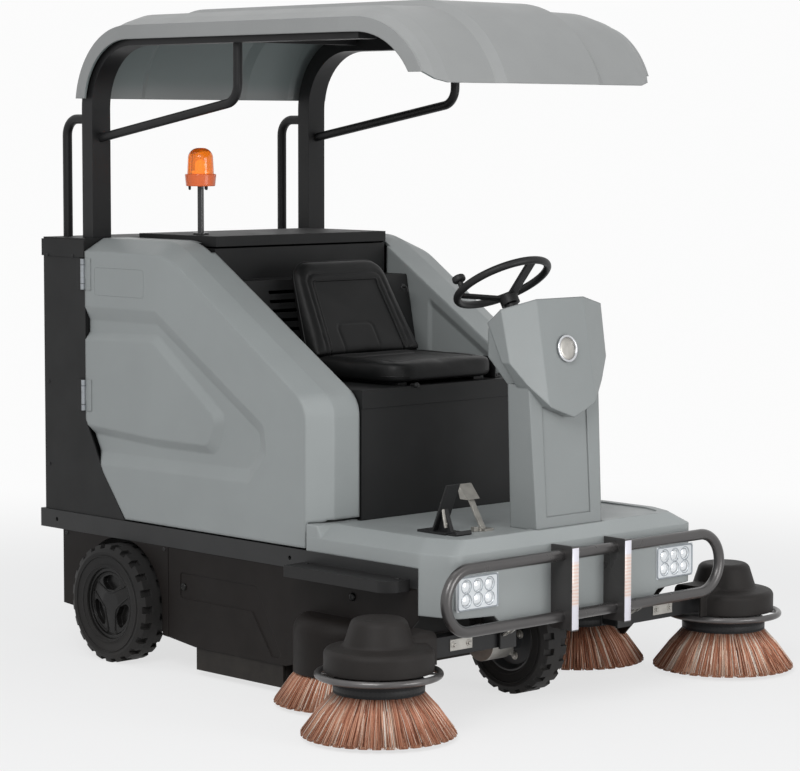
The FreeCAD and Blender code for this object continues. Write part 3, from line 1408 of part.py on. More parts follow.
def side_skirt():
    back = skirt_face - skirt_thickness
    top = rail_bottom - seat_gap
    face = [(skirt_rear, top), (skirt_front, top), (skirt_front, skirt_front_bottom),
            (inner_brush_y - bulge_radius, skirt_cut_z), (skirt_cut_y, skirt_cut_z), (skirt_low_front, skirt_low_bottom),
            (skirt_low_rear, skirt_low_bottom), (skirt_rear, skirt_rear_bottom)]
    panel = prism_x(face, back, skirt_face)
    centre = at(inner_brush_x, inner_brush_y, 0)
    height = bulge_top - skirt_cut_z
    dome = spun([(0, skirt_cut_z), (bulge_radius, skirt_cut_z), (bulge_radius, bulge_top), (0, bulge_top)], centre,
                at(0, 0, 1), [0, 0, bulge_round, 0])
    inner = spun([(0, skirt_cut_z - overrun), (bulge_radius - sheet, skirt_cut_z - overrun),
                  (bulge_radius - sheet, bulge_top - sheet), (0, bulge_top - sheet)], centre, at(0, 0, 1),
                 [0, 0, bulge_round - sheet, 0])
    inboard = box(-overall_width, back, -overall_length, overall_length, 0, overall_height)
    emboss = prism_x([(emboss_rear, emboss_top), (emboss_knee, emboss_top), (emboss_foot_front, emboss_foot),
                      (emboss_foot_rear, emboss_foot), (emboss_inner_knee, emboss_bottom),
                      (emboss_rear, emboss_bottom)], skirt_face - emboss_depth, skirt_face + overrun,
                     [emboss_round] * 6)
    return joined([panel, dome.cut(inboard)]).cut([inner, emboss])


def arch_plate():
    back = rail_half_width - sheet
    face = [(arch_rear, rail_bottom - seat_gap), (skirt_rear + sheet / 3, rail_bottom - seat_gap),
            (skirt_rear + sheet / 3, arch_front_bottom), (arch_rear, arch_bottom)]
    plate = prism_x(face, back, rail_half_width)
    wheel = rod(at(back - overrun, rear_wheel_y, rear_wheel_radius), at(rail_half_width + overrun, rear_wheel_y, rear_wheel_radius),
                arch_radius)
    drop = box(back - overrun, rail_half_width + overrun, rear_wheel_y - arch_radius, rear_wheel_y + arch_radius, 0,
               rear_wheel_radius)
    return plate.cut([wheel, drop])


def rubber_flaps():
    outer = skirt_face - skirt_thickness - seat_gap
    side = box(outer - flap_thickness, outer, flap_front_y, skirt_low_rear, flap_bottom, flap_top)
    inner = outer - flap_thickness - moving_gap
    across = []
    for y in (flap_front_y, skirt_low_rear - flap_thickness):
        across.append(box(-inner, inner, y, y + flap_thickness, flap_bottom, flap_top))
    return Part.makeCompound([side, mirrored(side)] + across)


# Brushes


def brush(x, y):
    """Disc brush: flared ring of bristle tufts under a plastic disc with its drive shaft."""
    centre = at(x, y, 0)
    axis = at(0, 0, 1)
    ring = spun([(root_inner_radius, root_height), (root_radius, root_height), (tip_radius, tip_height),
                 (tip_radius - tip_thickness, tip_height)], centre, axis)
    notches = []
    for i in range(tuft_count):
        points = [(tip_radius - tuft_notch * 1.5, 0), (tip_radius + overrun, -tuft_notch), (tip_radius + overrun, tuft_notch)]
        lower = outline(points, in_xy(tip_height - overrun))
        cut = prism(lower, at((root_radius - tip_radius), 0, root_height - tip_height))
        cut.translate(at(x, y, 0))
        cut.rotate(centre, axis, i * full_turn / tuft_count)
        notches.append(cut)
    ring = ring.cut(Part.makeCompound(notches))
    disc = rod(at(x, y, root_height - sheet / 3), at(x, y, disc_top), disc_radius)
    shaft = rod(at(x, y, disc_top), at(x, y, disc_top + shaft_rise), shaft_radius)
    return joined([ring, disc, shaft])


def brush_cover():
    """Moulded hood over an outer brush with a rounded horn toward the arm."""
    centre = at(outer_brush_x, outer_brush_y, 0)
    shells = []
    for skin, below in ((0, 0), (cover_skin, overrun)):
        points = [(0, cover_bottom_z - below), (cover_radius - skin, cover_bottom_z - below),
                  (cover_radius - skin, cover_shoulder_z - skin),
                  (crown_base_radius - skin, cover_shoulder_z + crown_base_rise - skin),
                  (crown_radius - skin, crown_top - skin), (0, crown_top - skin)]
        rounds = [0, 0, shoulder_round - skin, crown_foot_round + skin, crown_round - skin, 0]
        near, far = outer_brush_y - horn_half + skin, outer_brush_y + horn_half - skin
        low, high = cover_bottom_z - below, horn_top - skin
        horn = prism_x([(near, low), (near, high), (far, high), (far, low)], outer_brush_x - horn_reach - below,
                       outer_brush_x, [0, horn_round - skin, horn_round - skin, 0])
        shells.append(joined([spun(points, centre, at(0, 0, 1), rounds), horn]))
    outer, inner = shells
    return outer.cut(inner)


def brush_arm():
    """Pivoting beam with the drive motor, its carrier and the guard ring of one outer brush."""
    beam = box(arm_inner, arm_outer, arm_y - arm_bearing_half, arm_y + arm_bearing_half, arm_bottom, arm_bottom + arm_half * 2)
    carrier = box(arm_outer - sheet, outer_brush_x, arm_y - arm_bearing_half, arm_y + arm_bearing_half, carrier_bottom,
                  arm_bottom + arm_half * 2)
    motor = rod(at(outer_brush_x, outer_brush_y, motor_can_bottom), at(outer_brush_x, outer_brush_y, crown_top - cover_skin - seat_gap),
                motor_can_radius)
    centre = at(outer_brush_x, outer_brush_y, guard_z)
    ring = Part.makeTorus(guard_ring_radius, guard_tube_radius, centre, at(0, 0, 1))
    lugs = []
    for i in range(guard_lug_count):
        lug = box(outer_brush_x + motor_can_radius - sheet, outer_brush_x + guard_ring_radius,
                  outer_brush_y - guard_lug_half, outer_brush_y + guard_lug_half, guard_z - guard_lug_half / 3,
                  guard_z + guard_lug_half / 3)
        lug.rotate(centre, at(0, 0, 1), full_turn / guard_lug_count * (i + 0.5))
        lugs.append(lug)
    hub = rod(at(outer_brush_x, outer_brush_y, guard_z - guard_lug_half / 3),
              at(outer_brush_x, outer_brush_y, motor_can_bottom), motor_can_radius)
    body = joined([beam, carrier, motor, ring, hub] + lugs)
    eye = rod(at(arm_pivot_x, arm_y - overrun, arm_bottom + arm_half), at(arm_pivot_x, arm_y + overrun, arm_bottom + arm_half),
              arm_pin_radius + pin_clearance)
    bore = rod(at(outer_brush_x, outer_brush_y, guard_z - overrun),
               at(outer_brush_x, outer_brush_y, disc_top + shaft_rise + moving_gap * 2), shaft_radius + pin_clearance)
    return body.cut([eye, bore])


def chain_link(centre, along, across, length):
    """Oval link: a flat-sided ring with half round ends."""
    normal = along.cross(across)
    place = lambda u, v: centre + along * u + across * v - normal * chain_wire
    rings = []
    for grow in (chain_wire, -chain_wire):
        half = chain_link_half + grow
        end = length / 2 - chain_wire + grow
        rings.append(prism(outline([(-end, -half), (end, -half), (end, half), (-end, half)], place, [half] * 4),
                           normal * (chain_wire * 2)))
    return rings[0].cut(rings[1])


def lift_chain():
    """Short taut chain from the lower bumper bar to the arm bracket, its links caught in each other."""
    plate_front = arm_y - arm_bearing_half - bracket_gap - bracket_plate
    top = at(chain_x, bumper_y + bumper_radius, bumper_bottom + bumper_radius - chain_wire)
    low = at(chain_x, plate_front, bumper_bottom - chain_drop)
    span = low - top
    along = Vector(span).normalize()
    reach = span.Length - chain_end_gap * 2
    steps = chain_link_count - 1
    length = (reach + steps * (chain_wire * 4 - chain_bite)) / chain_link_count
    pitch = (reach - length) / steps
    flat = at(1, 0, 0)
    links = []
    for i in range(chain_link_count):
        centre = top + along * (chain_end_gap + length / 2 + pitch * i)
        links.append(chain_link(centre, along, flat.cross(along) if i % 2 else flat, length))
    return joined(links)


def main_brush():
    centre = at(-roller_half_length, roller_y, roller_z)
    length = at(roller_half_length * 2, 0, 0)
    core = Part.makeCylinder(roller_core_radius, roller_half_length * 2, centre, at(1, 0, 0))
    rows = []
    pitch = full_turn / roller_rows
    half_angle = math.radians(pitch) * roller_row_share / 2
    for i in range(roller_rows):
        base = roller_core_radius * 0.9
        inner_half = base * math.sin(half_angle)
        outer_half = roller_radius * math.sin(half_angle) * 0.8
        points = [(roller_y - inner_half, roller_z + base), (roller_y + inner_half, roller_z + base),
                  (roller_y + outer_half, roller_z + roller_radius), (roller_y - outer_half, roller_z + roller_radius)]
        row = prism_x(points, -roller_half_length, roller_half_length)
        row.rotate(at(0, roller_y, roller_z), at(1, 0, 0), i * pitch)
        rows.append(row)
    body = joined([core] + rows)
    bore = rod(at(-roller_half_length - overrun, roller_y, roller_z), at(-roller_half_length + overrun * 2, roller_y, roller_z),
               roller_pin_radius + pin_clearance)
    return body.cut([bore, mirrored(bore)])


rear_centre = at(rear_wheel_outer - rear_tyre_width / 2, rear_wheel_y, rear_wheel_radius)
front_centre = at(0, front_wheel_y, front_wheel_radius)
left_tyre = tyre(rear_centre, rear_wheel_radius, rear_tyre_width, rear_rim_radius)
left_rim = rear_rim(rear_centre, rear_rim_radius, rear_tyre_width, 1)
left_door = side_door()
left_arm = brush_arm()
left_cover = brush_cover()
left_outer_brush = brush(outer_brush_x, outer_brush_y)
left_inner_brush = brush(inner_brush_x, inner_brush_y)

nodes = {
    "chassis_frame": chassis_frame(),
    "rear_axle": rear_axle(),
    "rear_tyre_left": left_tyre,
    "rear_tyre_right": mirrored(left_tyre),
    "rear_rim_left": left_rim,
    "rear_rim_right": mirrored(left_rim),
    "front_fork": front_fork(),
    "front_tyre": tyre(front_centre, front_wheel_radius, front_tyre_width, front_rim_radius),
    "front_rim": front_rim(front_centre),
    "front_deck": front_deck(),
    "headlamps": pair(headlamp()),
    "side_door_left": left_door,
    "side_door_right": mirrored(left_door),
    "rear_housing": rear_housing(),
    "top_cover": top_cover(),
    "rear_door": rear_door(),
    "seat_base": seat_base(),
    "battery_pack": battery_pack(),
    "seat_bracket": seat_bracket(),
    "seat_cushion": seat_cushion(),
    "seat_back": seat_back(),
    "console": console(),
    "steering_column": steering_column(),
    "steering_wheel": steering_wheel(),
    "accelerator_pedal": pedal(),
    "brake_pedal": lever_pedal(),
    "canopy_frame": canopy_frame(),
    "canopy_shell": canopy_shell(),
    "beacon_base": beacon_base(),
    "beacon_dome": beacon_dome(),
    "front_bumper": front_bumper(),
    "side_steps": pair(side_step()),
    "side_skirts": pair(side_skirt()),
    "arch_plates": pair(arch_plate()),
    "rubber_flaps": rubber_flaps(),
    "brush_arm_left": left_arm,
    "brush_arm_right": mirrored(left_arm),
    "brush_cover_left": left_cover,
    "brush_cover_right": mirrored(left_cover),
    "outer_brush_left": left_outer_brush,
    "outer_brush_right": mirrored(left_outer_brush),
    "inner_brush_left": left_inner_brush,
    "inner_brush_right": mirrored(left_inner_brush),
    "lift_chains": pair(lift_chain()),
    "main_brush": main_brush(),
}

for name, shape in nodes.items():
    shape.exportStep(os.path.join("parts", name + ".step"))
    print(name, len(shape.Solids), round(shape.Volume / 1000), shape.isValid())
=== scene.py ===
import bpy
import bmesh
import math
import random
from mathutils import Vector, Matrix
from mathutils.bvhtree import BVHTree


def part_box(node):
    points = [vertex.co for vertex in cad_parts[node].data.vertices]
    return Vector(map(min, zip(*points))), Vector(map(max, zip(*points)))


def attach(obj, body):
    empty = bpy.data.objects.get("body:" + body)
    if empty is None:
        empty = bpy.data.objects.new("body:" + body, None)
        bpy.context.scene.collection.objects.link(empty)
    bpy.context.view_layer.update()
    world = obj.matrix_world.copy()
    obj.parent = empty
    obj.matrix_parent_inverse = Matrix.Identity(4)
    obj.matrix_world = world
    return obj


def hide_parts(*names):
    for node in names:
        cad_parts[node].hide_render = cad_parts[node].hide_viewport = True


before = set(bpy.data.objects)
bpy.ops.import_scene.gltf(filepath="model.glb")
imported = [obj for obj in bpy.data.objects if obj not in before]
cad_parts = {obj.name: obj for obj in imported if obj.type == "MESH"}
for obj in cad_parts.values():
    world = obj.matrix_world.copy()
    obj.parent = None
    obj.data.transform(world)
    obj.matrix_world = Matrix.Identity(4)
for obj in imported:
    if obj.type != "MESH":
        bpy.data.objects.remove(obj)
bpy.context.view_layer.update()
scene = bpy.context.scene
print("sweeper frame loaded,", len(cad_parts), "nodes")

upward = Vector((0, 0, 1))
forward = Vector((0, -1, 0))
leftward = Vector((1, 0, 0))
bothSides = (-1, 1)


# Small helpers used by every piece

def addObject(name, data, body=None):
    piece = bpy.data.objects.new(name, data)
    scene.collection.objects.link(piece)
    if body:
        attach(piece, body)
    return piece


def meshFrom(name, vertices, faces, smooth=True):
    mesh = bpy.data.meshes.new(name)
    mesh.from_pydata([tuple(v) for v in vertices], [], faces)
    mesh.update()
    for polygon in mesh.polygons:
        polygon.use_smooth = smooth
    return mesh


def addPiece(name, parts, body, finish, smooth=True):
    # one piece from a list of (vertices, faces) parts
    vertices, faces = [], []
    for partVertices, partFaces in parts:
        start = len(vertices)
        vertices += partVertices
        faces += [tuple(start + i for i in face) for face in partFaces]
    piece = addObject(name, meshFrom(name, vertices, faces, smooth), body)
    piece.data.materials.append(materials[finish])


def surfaceTree(mesh):
    return BVHTree.FromPolygons([v.co for v in mesh.vertices], [tuple(p.vertices) for p in mesh.polygons])


def ringPoints(centre, axis, side, radius, count):
    other = axis.cross(side)
    return [centre + (side * math.cos(math.tau * i / count) + other * math.sin(math.tau * i / count)) * radius
            for i in range(count)]


def ringFaces(rings, count, start=0, closed=False):
    # quads between neighbouring rings of points
    faces = []
    for ring in range(rings if closed else rings - 1):
        a, b = start + ring * count, start + (ring + 1) % rings * count
        for i in range(count):
            j = (i + 1) % count
            faces.append((a + i, a + j, b + j, b + i))
    return faces


def capFaces(rings, count):
    last = (rings - 1) * count
    return [tuple(reversed(range(count))), tuple(last + i for i in range(count))]


def sideOf(axis):
    helper = upward if abs(axis.z) < 0.9 else leftward
    return axis.cross(helper).normalized()


def lathe(profile, centre, axis, count):
    # profile is (distance along the axis, radius) from one end to the other, closed with caps
    axis = axis.normalized()
    side = sideOf(axis)
    vertices = []
    for along, radius in profile:
        vertices += ringPoints(centre + axis * along, axis, side, radius, count)
    return vertices, ringFaces(len(profile), count) + capFaces(len(profile), count)


def loopTube(points, radius, count, closed=True):
    # round tube along a list of points
    vertices = []
    total = len(points)
    side = None
    for i, point in enumerate(points):
        before = points[i - 1] if closed or i else point
        after = points[(i + 1) % total] if closed or i + 1 < total else point
        axis = (after - before).normalized()
        side = sideOf(axis) if side is None else (side - axis * side.dot(axis)).normalized()
        vertices += ringPoints(point, axis, side, radius, count)
    return vertices, ringFaces(total, count, closed=closed) + ([] if closed else capFaces(total, count))


def bevelledBox(low, high, edge, segments=2):
    shape = bmesh.new()
    bmesh.ops.create_cube(shape, size=1.0)
    size = Vector(high) - Vector(low)
    middle = (Vector(high) + Vector(low)) / 2
    for vertex in shape.verts:
        vertex.co = vertex.co * size + middle
    bmesh.ops.bevel(shape, geom=shape.edges[:], offset=edge, segments=segments, affect="EDGES", profile=0.6)
    shape.verts.index_update()
    vertices = [vertex.co.copy() for vertex in shape.verts]
    faces = [tuple(vertex.index for vertex in face.verts) for face in shape.faces]
    shape.free()
    return vertices, faces


def turned(part, centre, degrees):
    # part leaned about an axis across the machine
    spin = Matrix.Rotation(math.radians(degrees), 3, leftward)
    vertices, faces = part
    return [centre + spin @ (vertex - centre) for vertex in vertices], faces


# Materials

def fillSockets(tree, node, sockets):
    # each socket gets a link or a value, colours without their alpha
    for key, value in sockets.items():
        socket = node.inputs[key]
        if isinstance(value, bpy.types.NodeSocket):
            tree.links.new(value, socket)
        else:
            socket.default_value = (*value, 1.0) if socket.type == "RGBA" else value


def addNode(tree, kind, sockets, output=None, **settings):
    node = tree.nodes.new("ShaderNode" + kind)
    for setting, value in settings.items():
        setattr(node, setting, value)
    fillSockets(tree, node, sockets)
    return node.outputs[output] if output else node


def startMaterial(name):
    material = bpy.data.materials.new(name)
    material.use_nodes = True
    tree = material.node_tree
    return material, tree, tree.nodes["Principled BSDF"]


def objectPlace(tree):
    return addNode(tree, "TexCoord", {}, "Object")


def separated(tree, vector):
    parts = addNode(tree, "SeparateXYZ", {"Vector": vector}).outputs
    return parts["X"], parts["Y"], parts["Z"]


def noiseNode(tree, scale, detail=3.0, rough=0.55):
    return addNode(tree, "TexNoise", {"Vector": objectPlace(tree), "Scale": scale, "Detail": detail,
                                      "Roughness": rough}, "Fac")


def rampNode(tree, factor, stops):
    node = addNode(tree, "ValToRGB", {"Fac": factor})
    elements = node.color_ramp.elements
    while len(elements) < len(stops):
        elements.new(0.5)
    for element, (place, colour) in zip(elements, stops):
        element.position = place
        element.color = (*colour, 1.0)
    return node.outputs["Color"]


def grey(level):
    return (level, level, level)


def tinted(colour, share):
    return tuple(min(1.0, c * share) for c in colour)


def mixColours(tree, factor, first, second, mode="MIX"):
    return addNode(tree, "Mix", {"Factor": factor, "A": first, "B": second}, "Result", data_type="RGBA",
                   blend_type=mode)


def roundedEdges(tree, radius):
    return addNode(tree, "Bevel", {"Radius": radius}, "Normal", samples=6)


def bumpNode(tree, height, strength, distance, base=None):
    sockets = {"Height": height, "Strength": strength, "Distance": distance}
    if base is not None:
        sockets["Normal"] = base
    return addNode(tree, "Bump", sockets, "Normal")


def rangeNode(tree, value, fromRange, toRange=(0.0, 1.0), form="SMOOTHSTEP"):
    return addNode(tree, "MapRange", {"Value": value, "From Min": fromRange[0], "From Max": fromRange[1],
                                      "To Min": toRange[0], "To Max": toRange[1]},
                   "Result", interpolation_type=form)


def mathNode(tree, operation, *values):
    return addNode(tree, "Math", dict(enumerate(values)), "Value", operation=operation)


def heightShare(tree, low, high, most=1.0):
    # 0 below low and most above high, in metres over the ground
    return rangeNode(tree, separated(tree, objectPlace(tree))[2], (low, high), (0.0, most), "LINEAR")


def paintedUnderShade(tree):
    # 1 where the surface looks down, the mask for painted shade on under sides
    normal = addNode(tree, "TexCoord", {}, "Normal")
    return rangeNode(tree, separated(tree, normal)[2], (-0.05, -0.35))


def hollowShare(tree, hollow):
    # 1 inside a triangular hollow on faces nearer the middle than its x
    x, y, z = separated(tree, objectPlace(tree))
    soft = hollow["soft"]
    slope = (hollow["topZ"] - hollow["tipZ"]) / (hollow["rear"] - hollow["tip"])
    line = mathNode(tree, "MULTIPLY_ADD", y, slope, hollow["tipZ"] - hollow["tip"] * slope)
    share = mathNode(tree, "LESS_THAN", mathNode(tree, "ABSOLUTE", x), hollow["x"])
    for value, start, end in ((y, hollow["rear"], hollow["rear"] - soft),
                              (mathNode(tree, "SUBTRACT", z, line), 0.0, -soft),
                              (z, hollow["low"], hollow["low"] + soft)):
        share = mathNode(tree, "MULTIPLY", share, rangeNode(tree, value, (start, end)))
    return share


dirt = {"height": 0.55, "colour": (0.20, 0.17, 0.14), "scale": 14.0, "detail": 5.0, "rough": 0.65}
grainDepth = 0.0006


def surfaceMaterial(name, finish):
    # general paint, plastic, rubber and metal: mottled colour, soft dirt low down, fine grain, rounded edges, and
    # painted shade on surfaces that look down where the finish gives an under colour
    material, tree, shader = startMaterial(name)
    colour, mottle, rough = finish["colour"], finish["mottle"], finish["rough"]
    broad = noiseNode(tree, finish.get("mottleScale", 4.0), 4.0)
    tone = rampNode(tree, broad, [(0.35, tinted(colour, 1 - mottle)), (0.65, tinted(colour, 1 + mottle))])
    fine = noiseNode(tree, finish.get("grainScale", 900.0), 2.0, 0.6)
    speckle = rampNode(tree, fine, [(0.3, grey(0.93)), (0.7, grey(1.0))])
    tone = mixColours(tree, 1.0, tone, speckle, "MULTIPLY")
    if finish["dust"]:
        fade = heightShare(tree, dirt["height"], 0.0, finish["dust"])
        patch = noiseNode(tree, dirt["scale"], dirt["detail"], dirt["rough"])
        tone = mixColours(tree, mathNode(tree, "MULTIPLY", fade, patch), tone, dirt["colour"])
    # painted shade: surfaces that look down take the darker under colour
    if "under" in finish:
        tone = mixColours(tree, paintedUnderShade(tree), tone, finish["under"])
    sheen = rampNode(tree, noiseNode(tree, 9.0), [(0.3, grey(rough - 0.04)), (0.7, grey(rough + 0.05))])
    base = roundedEdges(tree, finish["edge"]) if finish["edge"] else None
    if "hollow" in finish:
        base = bumpNode(tree, hollowShare(tree, finish["hollow"]), 1.0, -finish["hollow"]["deep"], base)
    fillSockets(tree, shader, {"Base Color": tone, "Metallic": finish["metal"], "Roughness": sheen,
                               "Specular IOR Level": finish["shine"],
                               "Normal": bumpNode(tree, fine, finish["grain"], grainDepth, base)})
    if "coat" in finish:
        fillSockets(tree, shader, {"Coat Weight": finish["coat"], "Coat Roughness": finish["coatRough"]})
    return material


finishColumns = ("colour", "rough", "mottle", "grain", "edge", "dust", "shine", "metal")
finishRows = {
    # painted light: deck and console share the pods' body grey; the deck's copy is painted lighter to make up for
    # shade on its front face, the console's painted darker to hold down the strong light on its front
    "deckGrey": ((0.332, 0.354, 0.352), 0.44, 0.025, 0.05, 0.007, 0.12, 0.40, 0.0),
    "consoleGrey": ((0.258, 0.275, 0.273), 0.44, 0.025, 0.05, 0.008, 0.0, 0.40, 0.0),
    "podGrey": ((0.308, 0.329, 0.327), 0.44, 0.025, 0.05, 0.014, 0.12, 0.40, 0.0),
    "canopyGrey": ((0.300, 0.306, 0.303), 0.48, 0.03, 0.05, 0.006, 0.0, 0.40, 0.0),
    "frameBlack": ((0.0112, 0.0112, 0.0117), 0.45, 0.10, 0.10, 0.002, 0.08, 0.24, 0.0),
    "chassisBlack": ((0.0205, 0.0210, 0.0215), 0.45, 0.08, 0.10, 0.002, 0.06, 0.30, 0.0),
    "sheetBlack": ((0.0112, 0.0114, 0.0116), 0.50, 0.08, 0.09, 0.002, 0.08, 0.22, 0.0),
    "skirtBlack": ((0.0085, 0.0068, 0.0064), 0.56, 0.10, 0.12, 0.004, 0.06, 0.15, 0.0),
    "tyreBlack": ((0.0165, 0.0165, 0.0168), 0.66, 0.16, 0.18, 0.003, 0.10, 0.20, 0.0),
    "flapBlack": ((0.0120, 0.0115, 0.0115), 0.70, 0.15, 0.12, 0.0, 0.20, 0.20, 0.0),
    "rimBlack": ((0.0055, 0.0058, 0.0062), 0.27, 0.10, 0.06, 0.005, 0.08, 0.20, 0.0),
    "hubGrey": ((0.085, 0.088, 0.092), 0.42, 0.10, 0.06, 0.003, 0.08, 0.50, 0.35),
    "zincSteel": ((0.440, 0.425, 0.395), 0.40, 0.12, 0.05, 0.001, 0.0, 0.50, 0.70),
    "hingeZinc": ((0.34, 0.36, 0.38), 0.42, 0.08, 0.05, 0.0, 0.0, 0.50, 0.45),
    "tubeGrey": ((0.095, 0.091, 0.090), 0.30, 0.06, 0.05, 0.001, 0.0, 0.50, 0.60),
    "armBlack": ((0.0140, 0.0140, 0.0145), 0.45, 0.12, 0.08, 0.002, 0.12, 0.26, 0.0),
    "plasticBlack": ((0.0135, 0.0135, 0.0140), 0.48, 0.08, 0.16, 0.002, 0.0, 0.28, 0.0),
    "hoodBlack": ((0.0140, 0.0122, 0.0116), 0.58, 0.10, 0.30, 0.004, 0.06, 0.20, 0.0),
    "padBlack": ((0.0060, 0.0061, 0.0062), 0.46, 0.06, 0.30, 0.0, 0.0, 0.22, 0.0),
    "batteryGrey": ((0.090, 0.090, 0.095), 0.50, 0.10, 0.06, 0.003, 0.0, 0.50, 0.0),
    "lampSilver": ((0.80, 0.83, 0.85), 0.30, 0.02, 0.02, 0.001, 0.0, 0.50, 0.15),
    "lampDome": ((0.88, 0.91, 0.93), 0.13, 0.05, 0.0, 0.0, 0.0, 0.50, 0.55),
    "lampRing": ((0.36, 0.39, 0.42), 0.30, 0.05, 0.02, 0.0, 0.0, 0.50, 0.50),
    "chromeBright": ((0.60, 0.61, 0.63), 0.26, 0.02, 0.02, 0.0, 0.0, 0.50, 1.0),
    "pedalSteel": ((0.360, 0.345, 0.315), 0.36, 0.12, 0.05, 0.001, 0.0, 0.50, 0.65),
}
finishExtras = {
    "deckGrey": {"coat": 0.06, "coatRough": 0.3},
    "consoleGrey": {"coat": 0.06, "coatRough": 0.3},
    "podGrey": {"coat": 0.06, "coatRough": 0.3,
                "hollow": {"x": 0.402, "rear": 0.146, "tip": -0.170, "topZ": 1.196, "tipZ": 1.006,
                           "low": 0.90, "soft": 0.030, "deep": 0.009}},
    # the canopy's under colour is painted shade on its down-facing surfaces
    "canopyGrey": {"coat": 0.04, "coatRough": 0.25, "under": (0.175, 0.205, 0.203)},
    "zincSteel": {"mottleScale": 30.0},
    "hingeZinc": {"mottleScale": 40.0},
    "pedalSteel": {"mottleScale": 40.0},
    "plasticBlack": {"grainScale": 1400.0},
    "hoodBlack": {"grainScale": 1000.0},
    "padBlack": {"grainScale": 620.0},
    "lampDome": {"mottleScale": 60.0, "coat": 0.8, "coatRough": 0.03},
}
finishes = {name: {**dict(zip(finishColumns, row)), **finishExtras.get(name, {})}
            for name, row in finishRows.items()}
materials = {name: surfaceMaterial(name, finish) for name, finish in finishes.items()}


def glassMaterial(name, colour, rough, clear, glow=None):
    material, tree, shader = startMaterial(name)
    tint = rampNode(tree, noiseNode(tree, 60.0, 2.0), [(0.3, tinted(colour, 0.94)), (0.7, colour)])
    fillSockets(tree, shader, {"Base Color": tint, "Roughness": rough, "Transmission Weight": clear,
                               "IOR": 1.46})
    if glow:
        fillSockets(tree, shader, {"Emission Color": glow, "Emission Strength": 0.9})
    return material


fibreColours = [(0.0, (0.200, 0.066, 0.034)), (0.22, (0.430, 0.160, 0.088)), (0.45, (0.600, 0.265, 0.160)),
                (0.66, (0.740, 0.430, 0.300)), (0.84, (0.880, 0.690, 0.550)), (1.0, (0.95, 0.86, 0.76))]
coreColours = [(0.25, (0.080, 0.030, 0.018)), (0.5, (0.22, 0.095, 0.055)), (0.75, (0.36, 0.20, 0.13))]
plateHeight = 0.137


def bristleMaterial():
    # fibres by their own tone, with painted shade darkening them toward the plate, and fine flecks
    material, tree, shader = startMaterial("bristleFibre")
    colours = rampNode(tree, addNode(tree, "Attribute", {}, "Fac", attribute_name="fibreTone"), fibreColours)
    # painted shade: fibres darken toward the plate, where the disc shades their roots
    paintedRootShade = rampNode(tree, heightShare(tree, 0.100, 0.142), [(0.0, grey(1.0)), (1.0, (0.30, 0.27, 0.26))])
    fleck = rampNode(tree, noiseNode(tree, 260.0, 2.0), [(0.3, grey(0.80)), (0.7, grey(1.0))])
    for layer in (paintedRootShade, fleck):
        colours = mixColours(tree, 1.0, colours, layer, "MULTIPLY")
    fillSockets(tree, shader, {"Base Color": colours, "Roughness": 0.5, "Specular IOR Level": 0.3})
    return material


def bristleCoreMaterial(name, plateFrom=None):
    # the solid ring behind the fibres, streaked, with a black plate on top
    material, tree, shader = startMaterial(name)
    streak = noiseNode(tree, 120.0, 3.0, 0.6)
    colours = rampNode(tree, streak, coreColours)
    if plateFrom:
        plate = heightShare(tree, plateFrom, plateFrom + 0.001)
        colours = mixColours(tree, plate, colours, (0.013, 0.013, 0.0135))
    fillSockets(tree, shader, {"Base Color": colours, "Roughness": 0.7, "Specular IOR Level": 0.2,
                               "Normal": bumpNode(tree, streak, 0.4, 0.002)})
    return material


def armMaterial():
    # black beam over a grey metal guard ring
    beamFinish, ringFinish = finishes["armBlack"], finishes["tubeGrey"]
    material, tree, shader = startMaterial("armAndRing")
    broad = noiseNode(tree, 12.0, 4.0)
    share = heightShare(tree, 0.2000, 0.2005)
    beam = rampNode(tree, broad, [(0.3, tinted(beamFinish["colour"], 0.88)), (0.7, beamFinish["colour"])])
    ring = rampNode(tree, broad, [(0.3, ringFinish["colour"]), (0.7, tinted(ringFinish["colour"], 1.5))])
    metal = rangeNode(tree, share, (0.0, 1.0), (ringFinish["metal"], 0.0), "LINEAR")
    fillSockets(tree, shader, {"Base Color": mixColours(tree, share, ring, beam), "Metallic": metal,
                               "Roughness": 0.30, "Specular IOR Level": 0.3,
                               "Normal": roundedEdges(tree, 0.002)})
    return material


def beaconBaseMaterial():
    # orange drum on a black pole and foot
    orange = (0.80, 0.150, 0.036)
    material, tree, shader = startMaterial("beaconBase")
    drum = rampNode(tree, noiseNode(tree, 30.0), [(0.3, tinted(orange, 0.92)), (0.7, orange)])
    colours = mixColours(tree, heightShare(tree, 1.5635, 1.5640), (0.016, 0.016, 0.017), drum)
    fillSockets(tree, shader, {"Base Color": colours, "Roughness": 0.26, "Normal": roundedEdges(tree, 0.002)})
    return material


def reflectorMaterial():
    # white tape whose middle is faintly striped in pale peach
    material, tree, shader = startMaterial("reflectorTape")
    place = objectPlace(tree)
    blocks = addNode(tree, "TexWave", {"Vector": place, "Scale": 30.0, "Distortion": 1.5}, "Fac",
                     wave_type="BANDS", bands_direction="Z")
    broken = rampNode(tree, blocks, [(0.30, (0.76, 0.56, 0.48)), (0.7, (0.78, 0.68, 0.64))])
    band = rampNode(tree, separated(tree, place)[2],
                    [(0.325, grey(0.0)), (0.335, grey(1.0)), (0.455, grey(1.0)), (0.465, grey(0.0))])
    inside = addNode(tree, "RGBToBW", {"Color": band}, "Val")
    cells = addNode(tree, "TexVoronoi", {"Vector": place, "Scale": 420.0}, "Distance")
    fillSockets(tree, shader, {"Base Color": mixColours(tree, inside, (0.76, 0.74, 0.80), broken),
                               "Roughness": 0.3, "Coat Weight": 0.5,
                               "Normal": bumpNode(tree, cells, 0.25, 0.0004)})
    return material
